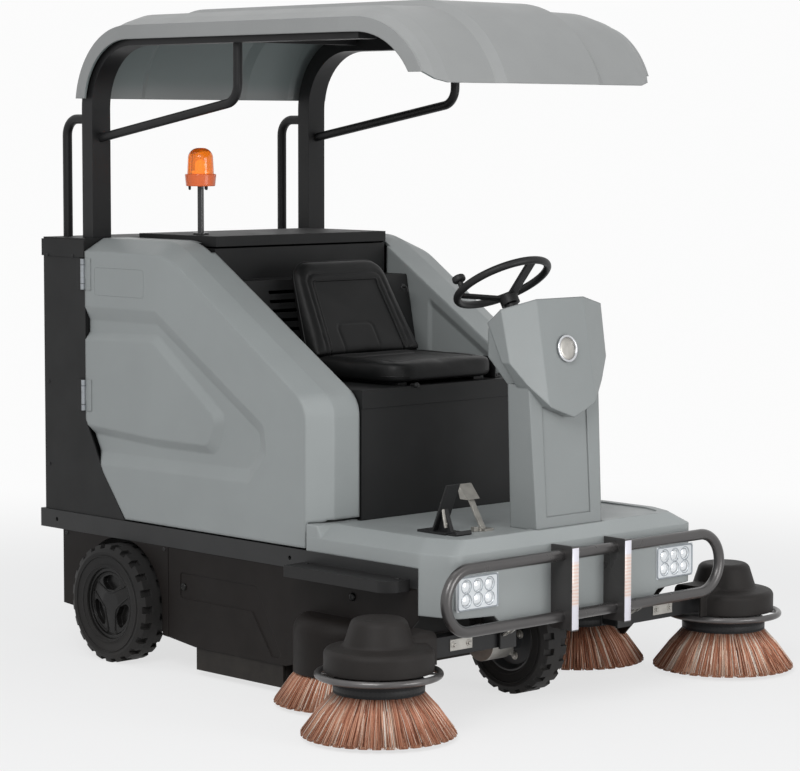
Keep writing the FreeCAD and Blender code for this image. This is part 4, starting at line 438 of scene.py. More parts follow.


# painted glow: the bulb inside the beacon gives off faint light to lighten the orange dome
materials["beaconGlow"] = glassMaterial("beaconGlow", (1.0, 0.62, 0.20), 0.3, 0.0, (1.0, 0.50, 0.14))
materials["beaconGlass"] = glassMaterial("beaconGlass", (1.0, 0.27, 0.018), 0.08, 0.60)
materials["bristleFibre"] = bristleMaterial()
materials["bristleCore"] = bristleCoreMaterial("bristleCore", plateHeight)
materials["rollerCore"] = bristleCoreMaterial("rollerCore")
materials["beaconBase"] = beaconBaseMaterial()
materials["armAndRing"] = armMaterial()
materials["reflectorTape"] = reflectorMaterial()

finishNodes = {
    "chassisBlack": "chassis_frame",
    "frameBlack": "rear_axle canopy_frame side_steps",
    "sheetBlack": "rear_housing top_cover rear_door seat_base",
    "skirtBlack": "side_skirts arch_plates",
    "tyreBlack": "rear_tyre_left rear_tyre_right front_tyre",
    "rimBlack": "rear_rim_left rear_rim_right",
    "hubGrey": "front_rim",
    "zincSteel": "front_fork lift_chains",
    "tubeGrey": "front_bumper",
    "deckGrey": "front_deck",
    "consoleGrey": "console",
    "podGrey": "side_door_left side_door_right",
    "canopyGrey": "canopy_shell",
    "lampSilver": "headlamps",
    "batteryGrey": "battery_pack",
    "padBlack": "seat_cushion seat_back",
    "plasticBlack": "seat_bracket steering_column steering_wheel accelerator_pedal",
    "pedalSteel": "brake_pedal",
    "beaconBase": "beacon_base",
    "beaconGlass": "beacon_dome",
    "flapBlack": "rubber_flaps",
    "armAndRing": "brush_arm_left brush_arm_right",
    "hoodBlack": "brush_cover_left brush_cover_right",
    "bristleCore": "outer_brush_left outer_brush_right inner_brush_left inner_brush_right",
    "rollerCore": "main_brush",
}
nodeFinish = {nodeName: finish for finish, names in finishNodes.items() for nodeName in names.split()}
for nodeName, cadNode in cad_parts.items():
    cadNode.data.materials.clear()
    cadNode.data.materials.append(materials[nodeFinish[nodeName]])
print("finishes set on", len(nodeFinish), "nodes")


# Camera, floor and light

view = {"place": (-6.322, -6.743, 1.760), "heading": 43.69, "tilt": 5.20, "lens": 127.76, "roll": -0.1}


def makeCamera():
    data = bpy.data.cameras.new("photoCamera")
    data.lens = view["lens"]
    data.sensor_width = 36.0
    data.clip_end = 200.0
    camera = addObject("photoCamera", data)
    heading, tilt = math.radians(view["heading"]), math.radians(view["tilt"])
    ahead = Vector((math.sin(heading) * math.cos(tilt), math.cos(heading) * math.cos(tilt), -math.sin(tilt)))
    camera.location = view["place"]
    camera.rotation_mode = "QUATERNION"
    roll = Matrix.Rotation(math.radians(view["roll"]), 3, ahead).to_quaternion()
    camera.rotation_quaternion = roll @ ahead.to_track_quat("-Z", "Y")
    scene.camera = camera


def seenOnly(tree):
    # 1 for rays that see the surface: camera, glossy and transmission
    rays = addNode(tree, "LightPath", {}).outputs
    seen = mathNode(tree, "MAXIMUM", rays["Is Camera Ray"], rays["Is Glossy Ray"])
    return mathNode(tree, "MAXIMUM", seen, rays["Is Transmission Ray"])


floor = {"radius": 30.0, "corners": 96, "near": 2.0, "far": 5.0, "white": 0.97, "tone": 0.80, "lift": 0.72}


def makeFloor():
    ring = ringPoints(Vector((0, 0, 0)), upward, leftward, floor["radius"], floor["corners"])
    piece = addObject("floor", meshFrom("floor", ring, [tuple(range(floor["corners"]))], False))
    material, tree = startMaterial("floorPale")[:2]
    tree.nodes.clear()
    spread = addNode(tree, "VectorMath", {0: objectPlace(tree)}, "Value", operation="LENGTH")
    fade = rangeNode(tree, spread, (floor["near"], floor["far"]), (floor["lift"], 1.0))
    diffuse = addNode(tree, "BsdfDiffuse", {"Color": grey(floor["tone"])}, "BSDF")
    glow = addNode(tree, "Emission", {"Color": grey(floor["white"])}, "Emission")
    share = mathNode(tree, "MULTIPLY", fade, seenOnly(tree))
    above = addNode(tree, "MixShader", {"Fac": share, 1: diffuse, 2: glow}, "Shader")
    # clear from below, so that the under side can be looked at
    below = addNode(tree, "NewGeometry", {}, "Backfacing")
    clear = addNode(tree, "BsdfTransparent", {}, "BSDF")
    both = addNode(tree, "MixShader", {"Fac": below, 1: above, 2: clear}, "Shader")
    addNode(tree, "OutputMaterial", {"Surface": both})
    piece.data.materials.append(material)


world = {"ambient": (0.80, 0.82, 0.85), "strength": 0.44, "white": 0.97}


def makeWorld():
    sky = bpy.data.worlds.new("studio")
    scene.world = sky
    sky.use_nodes = True
    tree = sky.node_tree
    tree.nodes.clear()
    light = addNode(tree, "Background", {"Color": world["ambient"], "Strength": world["strength"]},
                    "Background")
    seen = addNode(tree, "Background", {"Color": grey(world["white"])}, "Background")
    mix = addNode(tree, "MixShader", {"Fac": seenOnly(tree), 1: light, 2: seen}, "Shader")
    addNode(tree, "OutputWorld", {"Surface": mix})


lamps = {
    "keyLamp": {"place": (-5.2, -3.3, 4.7), "power": 222.0, "size": 3.0},
    "frontLamp": {"place": (0.6, -6.0, 1.25), "power": 112.0, "size": 2.4},
    "topLamp": {"place": (0.0, 0.0, 6.5), "power": 62.0, "size": 4.5},
}
lampTarget = Vector((0, 0, 0.9))


def makeLamps():
    for name, lamp in lamps.items():
        data = bpy.data.lights.new(name, "AREA")
        data.energy = lamp["power"]
        data.size = lamp["size"]
        light = addObject(name, data)
        light.location = lamp["place"]
        toward = lampTarget - Vector(lamp["place"])
        light.rotation_mode = "QUATERNION"
        light.rotation_quaternion = toward.to_track_quat("-Z", "Y")


makeCamera()
makeFloor()
makeWorld()
makeLamps()
scene.view_settings.view_transform = "Standard"
print("camera, floor and light set")


# Seat: cushion and backrest, padded vinyl

seat = {"inset": 0.007, "edge": 0.019, "pressure": 2.4, "cap": 0.006, "keep": 0.6, "voxel": 0.006,
        "frames": 16, "stiff": 25, "shear": 12, "bend": 4, "soften": 0.6, "softenRounds": 12,
        "grooveWidth": 0.0055, "grooveDepth": 0.0060, "pipe": 0.0032, "pipeStep": 0.012, "pipeSides": 8}


def roundedPlan(halfLow, halfHigh, low, high, radiusLow, radiusHigh, steps=7):
    # closed outline in (u, v) of a slab that narrows from its low to its high end
    corners = [(-halfLow, low, radiusLow), (halfLow, low, radiusLow), (halfHigh, high, radiusHigh),
               (-halfHigh, high, radiusHigh)]
    points = []
    for i, (u, v, radius) in enumerate(corners):
        corner = Vector((u, v))
        back = (Vector(corners[i - 1][:2]) - corner).normalized()
        ahead = (Vector(corners[(i + 1) % 4][:2]) - corner).normalized()
        first, last = corner + back * radius, corner + ahead * radius
        for k in range(steps + 1):
            t = k / steps
            points.append(first * (1 - t) ** 2 + corner * 2 * t * (1 - t) + last * t * t)
    return points


def insetPlan(points, distance):
    moved = []
    count = len(points)
    for i, point in enumerate(points):
        along = (points[(i + 1) % count] - points[i - 1]).normalized()
        moved.append(point + Vector((-along.y, along.x)) * distance)
    return moved


rim = {"steps": 10, "power": 0.6}


def slabMesh(name, plan, placeAt, thickness, edge, crown):
    # slab with rounded rim: rings of the plan from the under side, round the rim, to the crowned face
    vertices = []
    for t in range(rim["steps"] + 1):
        angle = math.pi * t / rim["steps"] - math.pi / 2
        shrink = edge * (1 - max(0.0, math.cos(angle)) ** rim["power"])
        height = thickness / 2 * (1 + math.copysign(abs(math.sin(angle)) ** rim["power"], math.sin(angle)))
        vertices += [placeAt(point.x, point.y, height) for point in insetPlan(plan, shrink)]
    middle = sum(plan, Vector((0, 0))) / len(plan)
    count = len(plan)
    faces = ringFaces(rim["steps"] + 1, count)
    for start, height, top in ((0, 0.0, False), (rim["steps"] * count, thickness + crown, True)):
        centre = len(vertices)
        vertices.append(placeAt(middle.x, middle.y, height))
        for i in range(count):
            j = (i + 1) % count
            faces.append((start + i, start + j, centre) if top else (start + j, start + i, centre))
    return meshFrom(name, vertices, faces)


def applyModifiers(piece):
    depsgraph = bpy.context.evaluated_depsgraph_get()
    mesh = bpy.data.meshes.new_from_object(piece.evaluated_get(depsgraph))
    piece.modifiers.clear()
    piece.data = mesh


def puffUp(piece, pinned):
    # cloth under pressure, capped so that the pad keeps its own place
    rest = [vertex.co.copy() for vertex in piece.data.vertices]
    group = piece.vertex_groups.new(name="held")
    group.add([v.index for v in piece.data.vertices if pinned(v.co)], 1.0, "REPLACE")
    cloth = piece.modifiers.new("cloth", "CLOTH")
    cloth.settings.use_pressure = True
    cloth.settings.uniform_pressure_force = seat["pressure"]
    cloth.settings.vertex_group_mass = "held"
    cloth.settings.effector_weights.gravity = 0.0
    cloth.settings.tension_stiffness = seat["stiff"]
    cloth.settings.compression_stiffness = seat["stiff"]
    cloth.settings.shear_stiffness = seat["shear"]
    cloth.settings.bending_stiffness = seat["bend"]
    cloth.point_cache.frame_end = seat["frames"]
    for step in range(1, seat["frames"] + 1):
        scene.frame_set(step)
    applyModifiers(piece)
    scene.frame_set(1)
    for vertex, start in zip(piece.data.vertices, rest):
        move = (vertex.co - start) * seat["keep"]
        if move.length > seat["cap"]:
            move *= seat["cap"] / move.length
        vertex.co = start + move


def swell(piece, pinned):
    remesh = piece.modifiers.new("remesh", "REMESH")
    remesh.mode = "VOXEL"
    remesh.voxel_size = seat["voxel"]
    applyModifiers(piece)
    puffUp(piece, pinned)
    soften = piece.modifiers.new("soften", "SMOOTH")
    soften.factor = seat["soften"]
    soften.iterations = seat["softenRounds"]
    applyModifiers(piece)


def distanceToLoop(point, loop):
    best = 1e9
    count = len(loop)
    for i in range(count):
        a, b = loop[i], loop[(i + 1) % count]
        side = b - a
        t = max(0.0, min(1.0, (point - a).dot(side) / max(side.length_squared, 1e-12)))
        best = min(best, (point - (a + side * t)).length)
    return best


def pressSeams(piece, loop, flat, face, depth=1.0, width=1.0):
    # groove along the loop on the side of the pad that faces the given way
    width *= seat["grooveWidth"]
    for vertex in piece.data.vertices:
        if vertex.normal.dot(face) < 0.25:
            continue
        gap = distanceToLoop(flat(vertex.co), loop)
        if gap < width * 3:
            vertex.co -= face * (seat["grooveDepth"] * depth * math.exp(-(gap / width) ** 2))


def finishPad(piece):
    smooth = piece.modifiers.new("subdivide", "SUBSURF")
    smooth.levels = 1
    smooth.render_levels = 1
    applyModifiers(piece)
    for polygon in piece.data.polygons:
        polygon.use_smooth = True
    piece.data.materials.clear()
    piece.data.materials.append(materials["padBlack"])


def pipingAlong(loop, spotOf, direction, pad, closed=True):
    # welt that lies on the pad's face along the loop
    tree = surfaceTree(pad.data)
    points = []
    for i in range(len(loop) if closed else len(loop) - 1):
        a, b = loop[i], loop[(i + 1) % len(loop)]
        steps = max(1, int((b - a).length / seat["pipeStep"]))
        for k in range(steps):
            spot = spotOf(a + (b - a) * (k / steps))
            hit = tree.ray_cast(spot + direction * 0.3, -direction)[0]
            if hit:
                points.append(hit + direction * seat["pipe"] * 0.25)
    return loopTube(points, seat["pipe"], seat["pipeSides"], closed)


cushion = {"base": 0.001, "spare": 0.004, "frontRound": 0.085, "rearRound": 0.045, "crown": 0.004,
           "held": 0.25, "border": 0.052, "dish": 0.010, "dishFrom": 0.04, "dishOver": 0.07,
           "channelHalf": 0.62, "channelBack": 0.10, "above": 0.006, "below": 0.0005, "rim": 0.004,
           "rimHeight": 0.30}


def makeCushion():
    low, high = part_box("seat_cushion")
    half = high.x - seat["inset"]
    front, rear = low.y + seat["inset"], high.y - seat["inset"]
    base = low.z + cushion["base"]
    thickness = high.z - low.z - cushion["spare"]
    plan = roundedPlan(half, half, front, rear, cushion["frontRound"], cushion["rearRound"])
    slab = slabMesh("seatCushion", plan, lambda u, v, w: Vector((u, v, base + w)), thickness, seat["edge"],
                    cushion["crown"])
    piece = addObject("seatCushion", slab)
    swell(piece, lambda point: point.z < base + thickness * cushion["held"])
    flat = lambda point: Vector((point.x, point.y))
    for vertex in piece.data.vertices:
        # the middle of the seat is dished, the sides and the front roll stay high
        inside = distanceToLoop(flat(vertex.co), plan)
        if vertex.normal.z > 0.3:
            share = (inside - cushion["dishFrom"]) / cushion["dishOver"]
            vertex.co.z -= cushion["dish"] * min(1.0, max(0.0, share))
    welt = insetPlan(plan, cushion["border"])
    pressSeams(piece, welt, flat, upward)
    channelEnd, channelY = half * cushion["channelHalf"], rear - cushion["channelBack"]
    channel = [Vector((side * channelEnd, channelY)) for side in bothSides]
    pressSeams(piece, channel, flat, upward, 0.7)
    for vertex in piece.data.vertices:
        vertex.co.z = min(vertex.co.z, high.z + cushion["above"])
        vertex.co.z = max(vertex.co.z, low.z + cushion["below"])
    finishPad(piece)
    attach(piece, "body")
    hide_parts("seat_cushion")
    part = pipingAlong(welt, lambda p: Vector((p.x, p.y, high.z)), upward, piece)
    rimZ = base + thickness * cushion["rimHeight"]
    lower = loopTube([Vector((p.x, p.y, rimZ)) for p in insetPlan(plan, cushion["rim"])], seat["pipe"],
                     seat["pipeSides"])
    addPiece("cushionPiping", [part, lower], "body", "padBlack")


back = {"foot": 1.022, "top": 1.322, "half": 0.235, "halfTop": 0.192, "cornerLow": 0.012, "cornerTop": 0.060,
        "thick": 0.058, "edge": 0.017, "crown": 0.002, "held": 0.012, "firstLine": 0.034, "secondLine": 0.060,
        "sink": 0.009, "slope": 0.35, "archFrom": 0.7, "arch": 0.010, "archDrop": 0.008, "lineFoot": 0.4,
        "lineDrop": 0.12, "lumbarShift": -0.020, "rim": 0.001, "rimDepth": 0.42,
        "front": ((1.022, 0.008), (1.060, 0.032), (1.090, 0.054), (1.130, 0.078), (1.200, 0.112),
                  (1.322, 0.166)),
        "rear": ((1.022, 0.096), (1.322, 0.208))}


def alongProfile(profile, height):
    # y of a side profile of (height, y) points, smoothed by a cubic through them
    if height <= profile[0][0]:
        return profile[0][1]
    for i in range(len(profile) - 1):
        (lowZ, lowY), (highZ, highY) = profile[i], profile[i + 1]
        if height <= highZ:
            t = (height - lowZ) / (highZ - lowZ)
            before = profile[max(0, i - 1)]
            after = profile[min(len(profile) - 1, i + 2)]
            slopeLow = (highY - before[1]) / (highZ - before[0]) * (highZ - lowZ)
            slopeHigh = (after[1] - lowY) / (after[0] - lowZ) * (highZ - lowZ)
            return ((2 * t ** 3 - 3 * t ** 2 + 1) * lowY + (t ** 3 - 2 * t ** 2 + t) * slopeLow
                    + (3 * t ** 2 - 2 * t ** 3) * highY + (t ** 3 - t ** 2) * slopeHigh)
    return profile[-1][1]


def placeOnBack(u, v, w):
    # spot on the backrest from across, up and forward
    height = back["foot"] + v
    near = alongProfile(back["front"], height)
    far = alongProfile(back["rear"], height)
    return Vector((u, far + (near - far) * w / back["thick"], height))


def makeBackrest():
    face = Vector((0, -1, back["slope"])).normalized()
    tall = back["top"] - back["foot"]
    plan = roundedPlan(back["half"], back["halfTop"], 0.0, tall, back["cornerLow"], back["cornerTop"])
    arch = []
    for point in plan:
        share = max(0.0, (point.y - tall * back["archFrom"]) / (tall * (1 - back["archFrom"])))
        bow = back["arch"] * share * (1 - (point.x / back["halfTop"]) ** 2) - back["archDrop"] * share
        arch.append(Vector((point.x, point.y + bow)))
    piece = addObject("seatBackrest", slabMesh("seatBackrest", arch, placeOnBack, back["thick"], back["edge"],
                                               back["crown"]))
    swell(piece, lambda point: point.y > alongProfile(back["rear"], point.z) - back["held"])
    flat = lambda point: Vector((point.x, point.z - back["foot"]))
    # both lines run out at the foot
    foot = tall * back["lineFoot"]
    longer = [Vector((p.x, p.y if p.y > foot else p.y - back["lineDrop"] * (1 - p.y / foot))) for p in arch]
    firstLine = insetPlan(longer, back["firstLine"])
    secondLine = insetPlan(longer, back["secondLine"])
    lumbar = [point + Vector((back["lumbarShift"], 0)) for point in
              roundedPlan(0.078, 0.078, -0.05, 0.100, 0.01, 0.022)]
    for vertex in piece.data.vertices:
        if vertex.normal.dot(face) > 0.3:
            inside = distanceToLoop(flat(vertex.co), longer)
            if inside > back["firstLine"]:
                vertex.co -= face * (back["sink"] * 0.3)
            past = inside - back["secondLine"] + 0.010
            if past > 0:
                vertex.co -= face * (back["sink"] * 0.7 * min(1.0, past / 0.012))
    pressSeams(piece, firstLine, flat, face, 0.8, 0.8)
    pressSeams(piece, lumbar, flat, face, 0.5, 0.6)
    finishPad(piece)
    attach(piece, "body")
    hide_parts("seat_back")
    # the welt starts and ends at the foot
    corner = len(secondLine) // 4
    part = pipingAlong(secondLine[corner:] + secondLine[:corner],
                       lambda p: placeOnBack(p.x, p.y, back["thick"]), face, piece, False)
    edge = [placeOnBack(p.x, p.y, back["thick"] * back["rimDepth"]) for p in insetPlan(arch, back["rim"])]
    addPiece("backrestPiping", [part, loopTube(edge, seat["pipe"], seat["pipeSides"])], "body", "padBlack")


makeCushion()
makeBackrest()
print("seat padded")


# Brushes: loose fibres over the solid rings

fibre = {"tufts": 56, "rows": 3, "perTuft": 26, "width": 0.0019, "droop": 0.010, "raggedness": 0.006,
         "sides": 3, "rootZ": 0.142, "rootRadius": 0.123, "discZ": 0.1405, "seed": 31}
discProfile = [(-0.004, 0.112), (-0.004, 0.1335), (0.010, 0.1345), (0.026, 0.1335), (0.030, 0.129),
               (0.030, 0.040)]


def fibreStrand(vertices, faces, tones, points, widths, side, tone):
    start = len(vertices)
    along = (points[-1] - points[0]).normalized()
    other = along.cross(side).normalized()
    for point, width in zip(points, widths):
        for k in range(fibre["sides"]):
            angle = math.tau * k / fibre["sides"]
            vertices.append(point + (side * math.cos(angle) + other * math.sin(angle)) * width)
            tones.append(tone)
    faces += ringFaces(len(points), fibre["sides"], start)
    last = len(vertices) - fibre["sides"]
    faces.append((last, last + 1, last + 2))


def makeDiscFibres(name, body, node, seed):
    rng = random.Random(seed)
    low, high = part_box(node)
    centre = (low + high) / 2
    tipRadius = (high.x - low.x) / 2
    vertices, faces, tones = [], [], []
    for row in range(fibre["rows"]):
        for tuft in range(fibre["tufts"]):
            base = math.tau * (tuft + 0.33 * row) / fibre["tufts"]
            tuftTone = rng.random()
            tuftReach = rng.uniform(-0.004, 0.0)
            for _ in range(fibre["perTuft"]):
                angle = base + rng.gauss(0, 0.30) * math.tau / fibre["tufts"]
                lean = rng.gauss(0, 0.018)
                rootRadius = fibre["rootRadius"] - row * 0.010 + rng.uniform(-0.003, 0.002)
                reach = tipRadius - row * 0.012 + tuftReach - rng.random() ** 2 * fibre["raggedness"]
                endZ = low.z + row * 0.001 + rng.random() ** 2 * 0.010
                outward = Vector((math.cos(angle), math.sin(angle), 0))
                outwardTip = Vector((math.cos(angle + lean), math.sin(angle + lean), 0))
                root = Vector((centre.x, centre.y, fibre["rootZ"])) + outward * rootRadius
                tip = Vector((centre.x, centre.y, endZ)) + outwardTip * min(reach, tipRadius - 0.0005)
                middle = (root + tip) / 2 + Vector((0, 0, fibre["droop"] * 0.35)) + outward * 0.003
                side = Vector((-math.sin(angle), math.cos(angle), 0))
                width = fibre["width"] * rng.uniform(0.6, 1.15)
                tone = min(1.0, max(0.0, 0.50 + 0.16 * (tuftTone - 0.5) + rng.gauss(0, 0.27)))
                widths = [width, width * 0.95, width * 0.55]
                fibreStrand(vertices, faces, tones, [root, middle, tip], widths, side, tone)
    mesh = meshFrom(name, vertices, faces)
    mesh.attributes.new("fibreTone", "FLOAT", "POINT").data.foreach_set("value", tones)
    mesh.materials.append(materials["bristleFibre"])
    addObject(name, mesh, body)
    disc = lathe(discProfile, Vector((centre.x, centre.y, fibre["discZ"])), upward, 64)
    addPiece(name + "Disc", [disc], body, "plasticBlack", False)


brushes = (("outer", "Left"), ("outer", "Right"), ("inner", "Left"), ("inner", "Right"))
for number, (place, hand) in enumerate(brushes):
    rotor, brushNode = (place + kind + hand.lower() for kind in ("_rotor_", "_brush_"))
    makeDiscFibres(place + "Fibres" + hand, rotor, brushNode, fibre["seed"] + number)
print("disc brushes bristled")


# Front: reflector tape, lamps and the badge's place

def mirroredBoxes(low, high, edge):
    # a box on the left side and its like on the right
    parts = []
    for side in bothSides:
        near, far = sorted((side * low[0], side * high[0]))
        parts.append(bevelledBox((near, *low[1:]), (far, *high[1:]), edge, 1))
    return parts


tape = {"inner": 0.1035, "outer": 0.1325, "low": 0.256, "high": 0.504, "thick": 0.0008, "edge": 0.0003}


def makeTape():
    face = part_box("front_bumper")[0].y
    parts = mirroredBoxes((tape["inner"], face - tape["thick"], tape["low"]), (tape["outer"], face, tape["high"]),
                          tape["edge"])
    addPiece("bumperTape", parts, "body", "reflectorTape")


lampFace = {"x": 0.441, "z": 0.396, "pitchX": 0.048, "pitchZ": 0.042, "dome": 0.0195, "rise": 0.0085,
            "sunk": 0.0065, "collar": 0.004, "ringRise": 0.0062, "ringGap": 0.0012, "ringWire": 0.0012,
            "halfX": 0.0825, "halfZ": 0.0485, "round": 0.010, "rim": 0.0026, "rimRise": 0.0004}


def makeHeadlampDomes():
    # six clear domes in a pale reflector, framed by a thin dark seal
    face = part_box("headlamps")[0].y
    domes, rings, frames = [], [], []
    profile = [(-lampFace["collar"], lampFace["dome"])]
    for k in range(9):
        angle = math.pi / 2 * k / 8
        profile.append((lampFace["rise"] * math.sin(angle), max(0.0004, lampFace["dome"] * math.cos(angle))))
    for side in bothSides:
        x = side * lampFace["x"]
        for i in range(3):
            for j in range(2):
                spot = Vector((x + (i - 1) * lampFace["pitchX"], face + lampFace["sunk"],
                               lampFace["z"] + (j - 0.5) * lampFace["pitchZ"]))
                domes.append(lathe(profile, spot, forward, 28))
                ring = ringPoints(spot + forward * lampFace["ringRise"], forward, leftward,
                                  lampFace["dome"] + lampFace["ringGap"], 32)
                rings.append(loopTube(ring, lampFace["ringWire"], 6))
        outline = roundedPlan(lampFace["halfX"], lampFace["halfX"], -lampFace["halfZ"], lampFace["halfZ"],
                              lampFace["round"], lampFace["round"], 4)
        seal = [Vector((x + u, face - lampFace["rimRise"], lampFace["z"] + v)) for u, v in outline]
        frames.append(loopTube(seal, lampFace["rim"], 8))
    addPiece("lampDomes", domes, "body", "lampDome")
    addPiece("lampRings", rings, "body", "lampRing")
    addPiece("lampFrames", frames, "body", "lampRing")


badge = {"centre": (0.0, -0.8605, 1.089), "ring": 0.0385, "ringRise": 0.003, "tube": 0.0042, "slope": 0.178,
         "disc": ((-0.002, 0.0385), (0.0025, 0.0375), (0.0035, 0.0231), (0.004, 0.005775))}


def makeBadge():
    # plain round place on the console, a bright ring round a bare disc
    outward = Vector((0, -1, badge["slope"])).normalized()
    centre = Vector(badge["centre"])
    points = ringPoints(centre + outward * badge["ringRise"], outward, leftward, badge["ring"], 48)
    addPiece("badgeRing", [loopTube(points, badge["tube"], 10)], "body", "chromeBright")
    addPiece("badgeDisc", [lathe(badge["disc"], centre, outward, 48)], "body", "zincSteel")


# Fittings: bolts, hinges, brackets, lips and liners

def scaled(profile, size):
    return [(along * size, radius * size) for along, radius in profile]


washerProfile = ((0.0, 0.95), (0.16, 0.95), (0.18, 0.88))
hexagonProfile = ((0.17, 0.56), (0.59, 0.56), (0.69, 0.44))
domeProfile = ((0.0, 0.5), (0.14, 0.48), (0.25, 0.36), (0.29, 0.20), (0.20, 0.17), (0.19, 0.05))


def boltHead(spot, outward, size):
    # hexagon head with a chamfered crown on a washer
    return [lathe(scaled(profile, size), spot, outward, count) for profile, count in
            ((washerProfile, 24), (hexagonProfile, 6))]


def domeHead(spot, outward, size):
    # low round screw head with a sunk centre
    return [lathe(scaled(domeProfile, size), spot, outward, 20)]


def onSurface(node, spots, outward):
    # where straight lines from outside meet the node's surface, on both sides of the machine
    tree = surfaceTree(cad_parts[node].data)
    found = []
    for x, y, z in spots:
        for side in bothSides:
            away = Vector((outward[0] * side, outward[1], outward[2]))
            hit = tree.ray_cast(Vector((x * side, y, z)) + away * 0.06, -away)[0]
            if hit:
                found.append((hit - away * 0.0002, away))
            else:
                print("no surface of", node, "under", (x, y, z))
    return found


fasteners = {
    # name: node under the heads, its body, finish, size across, outward and spots on the left side
    "skirtBolts": ("side_skirts", "body", "rimBlack", 0.026, (1, 0, 0),
                   [(0.640, 0.290, 0.282), (0.640, -0.516, 0.348)]),
    "archBolts": ("arch_plates", "body", "armBlack", 0.014, (1, 0, 0),
                  [(0.570, 0.384, 0.395), (0.570, 0.905, 0.395)]),
    "stepBolts": ("side_steps", "body", "frameBlack", 0.014, (0, 0, 1),
                  [(0.590, -0.735, 0.430), (0.590, -0.330, 0.430)]),
    "housingScrews": ("rear_housing", "body", "plasticBlack", 0.012, (1, 0, 0),
                      [(0.570, 1.000, 1.330), (0.570, 0.860, 1.330), (0.570, 1.005, 0.620),
                       (0.570, 1.005, 0.900)]),
    "rearDoorBolts": ("rear_door", "hopper_door", "plasticBlack", 0.014, (0, 1, 0),
                      [(0.480, 1.040, 1.270), (0.480, 1.040, 0.530)]),
}


def makeFasteners():
    for name, (node, body, finish, size, outward, spots) in fasteners.items():
        parts = []
        for spot, away in onSurface(node, spots, outward):
            parts += domeHead(spot, away, size)
        addPiece(name, parts, body, finish, smooth=False)


hinge = {"x": 0.577, "y": 0.7975, "radius": 0.0074, "lows": (0.817, 1.220), "length": 0.104, "knuckles": 5,
         "gap": 0.0012, "chamfer": 0.0006}


def makeHingeBarrels():
    # pale knuckles round the pins of the pod hinges
    parts = []
    each = hinge["length"] / hinge["knuckles"]
    narrow = hinge["radius"] * 0.9
    for side in bothSides:
        for low in hinge["lows"]:
            foot = Vector((side * hinge["x"], hinge["y"], low))
            for k in range(hinge["knuckles"]):
                start, end = k * each + hinge["gap"] / 2, (k + 1) * each - hinge["gap"] / 2
                knuckle = [(start, narrow), (start + hinge["chamfer"], hinge["radius"]),
                           (end - hinge["chamfer"], hinge["radius"]), (end, narrow)]
                parts.append(lathe(knuckle, foot, upward, 24))
    addPiece("hingeBarrels", parts, "body", "hingeZinc", smooth=False)


armPlate = {"face": -0.861, "sunk": 0.0005, "x": 0.452, "z": 0.236, "halfX": 0.046, "halfZ": 0.017,
            "thick": 0.003, "edge": 0.0012, "boltX": 0.031, "bolt": 0.011}


def makeArmPlates():
    # pale steel plate with two bolts on the front of each arm
    for side, body, tag in ((1, "arm_left", "Left"), (-1, "arm_right", "Right")):
        x = side * armPlate["x"]
        front = armPlate["face"] - armPlate["thick"]
        parts = [bevelledBox((x - armPlate["halfX"], front, armPlate["z"] - armPlate["halfZ"]),
                             (x + armPlate["halfX"], armPlate["face"] + armPlate["sunk"],
                              armPlate["z"] + armPlate["halfZ"]), armPlate["edge"])]
        for k in bothSides:
            parts += boltHead(Vector((x + k * armPlate["boltX"], front, armPlate["z"])), forward,
                              armPlate["bolt"])
        addPiece("armPlate" + tag, parts, body, "zincSteel", smooth=False)


corner = {"inner": 0.508, "outer": 0.5698, "low": 0.504, "shoulder": 0.510, "top": 0.5485, "rear": -0.3075,
          "full": -0.351, "end": -0.376, "steps": 8, "seam": 0.0015, "round": 0.004, "foot": 0.030}


def makeDeckCorners():
    # square shoulder of the deck under each pod's nose, running out into the sloped shoulder
    parts = []
    run = corner["end"] - corner["full"]
    steps = [corner["rear"]]
    steps += [corner["full"] + run * k / corner["steps"] for k in range(corner["steps"] + 1)]
    for side in bothSides:
        vertices = []
        for y in steps:
            t = min(1.0, max(0.0, (corner["full"] - y) / -run))
            fall = t * t * (3 - 2 * t)
            outerTop = corner["top"] + (corner["shoulder"] - corner["seam"] - corner["top"]) * fall
            outer = corner["outer"] - corner["round"] * fall
            outline = ((corner["inner"], corner["top"] - corner["seam"] * fall),
                       (outer - corner["round"], outerTop), (outer, outerTop - corner["round"]),
                       (outer, corner["low"]),
                       (corner["inner"] - corner["round"], corner["low"] + corner["foot"]))
            vertices += [Vector((x * side, y, z)) for x, z in outline]
        faces = ringFaces(len(steps), 5)
        if side > 0:
            faces = [tuple(reversed(face)) for face in faces]
        parts.append((vertices, faces + [tuple(range(5)), tuple(len(vertices) - 5 + k for k in range(5))]))
    addPiece("deckCorners", parts, "body", "deckGrey", False)


bracket = {"x": 0.243, "thick": 0.004, "rear": -0.262, "front": -0.318, "low": 0.9505, "top": 1.020,
           "foot": 0.026, "edge": 0.0015, "footEdge": 0.0012, "screwY": -0.290, "screwZs": (0.972, 1.000),
           "boltX": 0.017, "boltY": -0.305, "head": 0.012, "knobPlace": (-0.150, -0.333, 0.953),
           "knob": ((0.0, 0.005), (0.018, 0.005), (0.019, 0.008), (0.025, 0.0095), (0.030, 0.008),
                    (0.032, 0.003)), "hookX": 0.300,
           "hook": ((0.1755, 1.222), (0.160, 1.222), (0.152, 1.216), (0.150, 1.206), (0.155, 1.198)),
           "hookWire": 0.0035, "rosePlace": (0.300, 0.1768, 1.222),
           "rose": ((0.0, 0.011), (0.003, 0.011), (0.004, 0.009))}


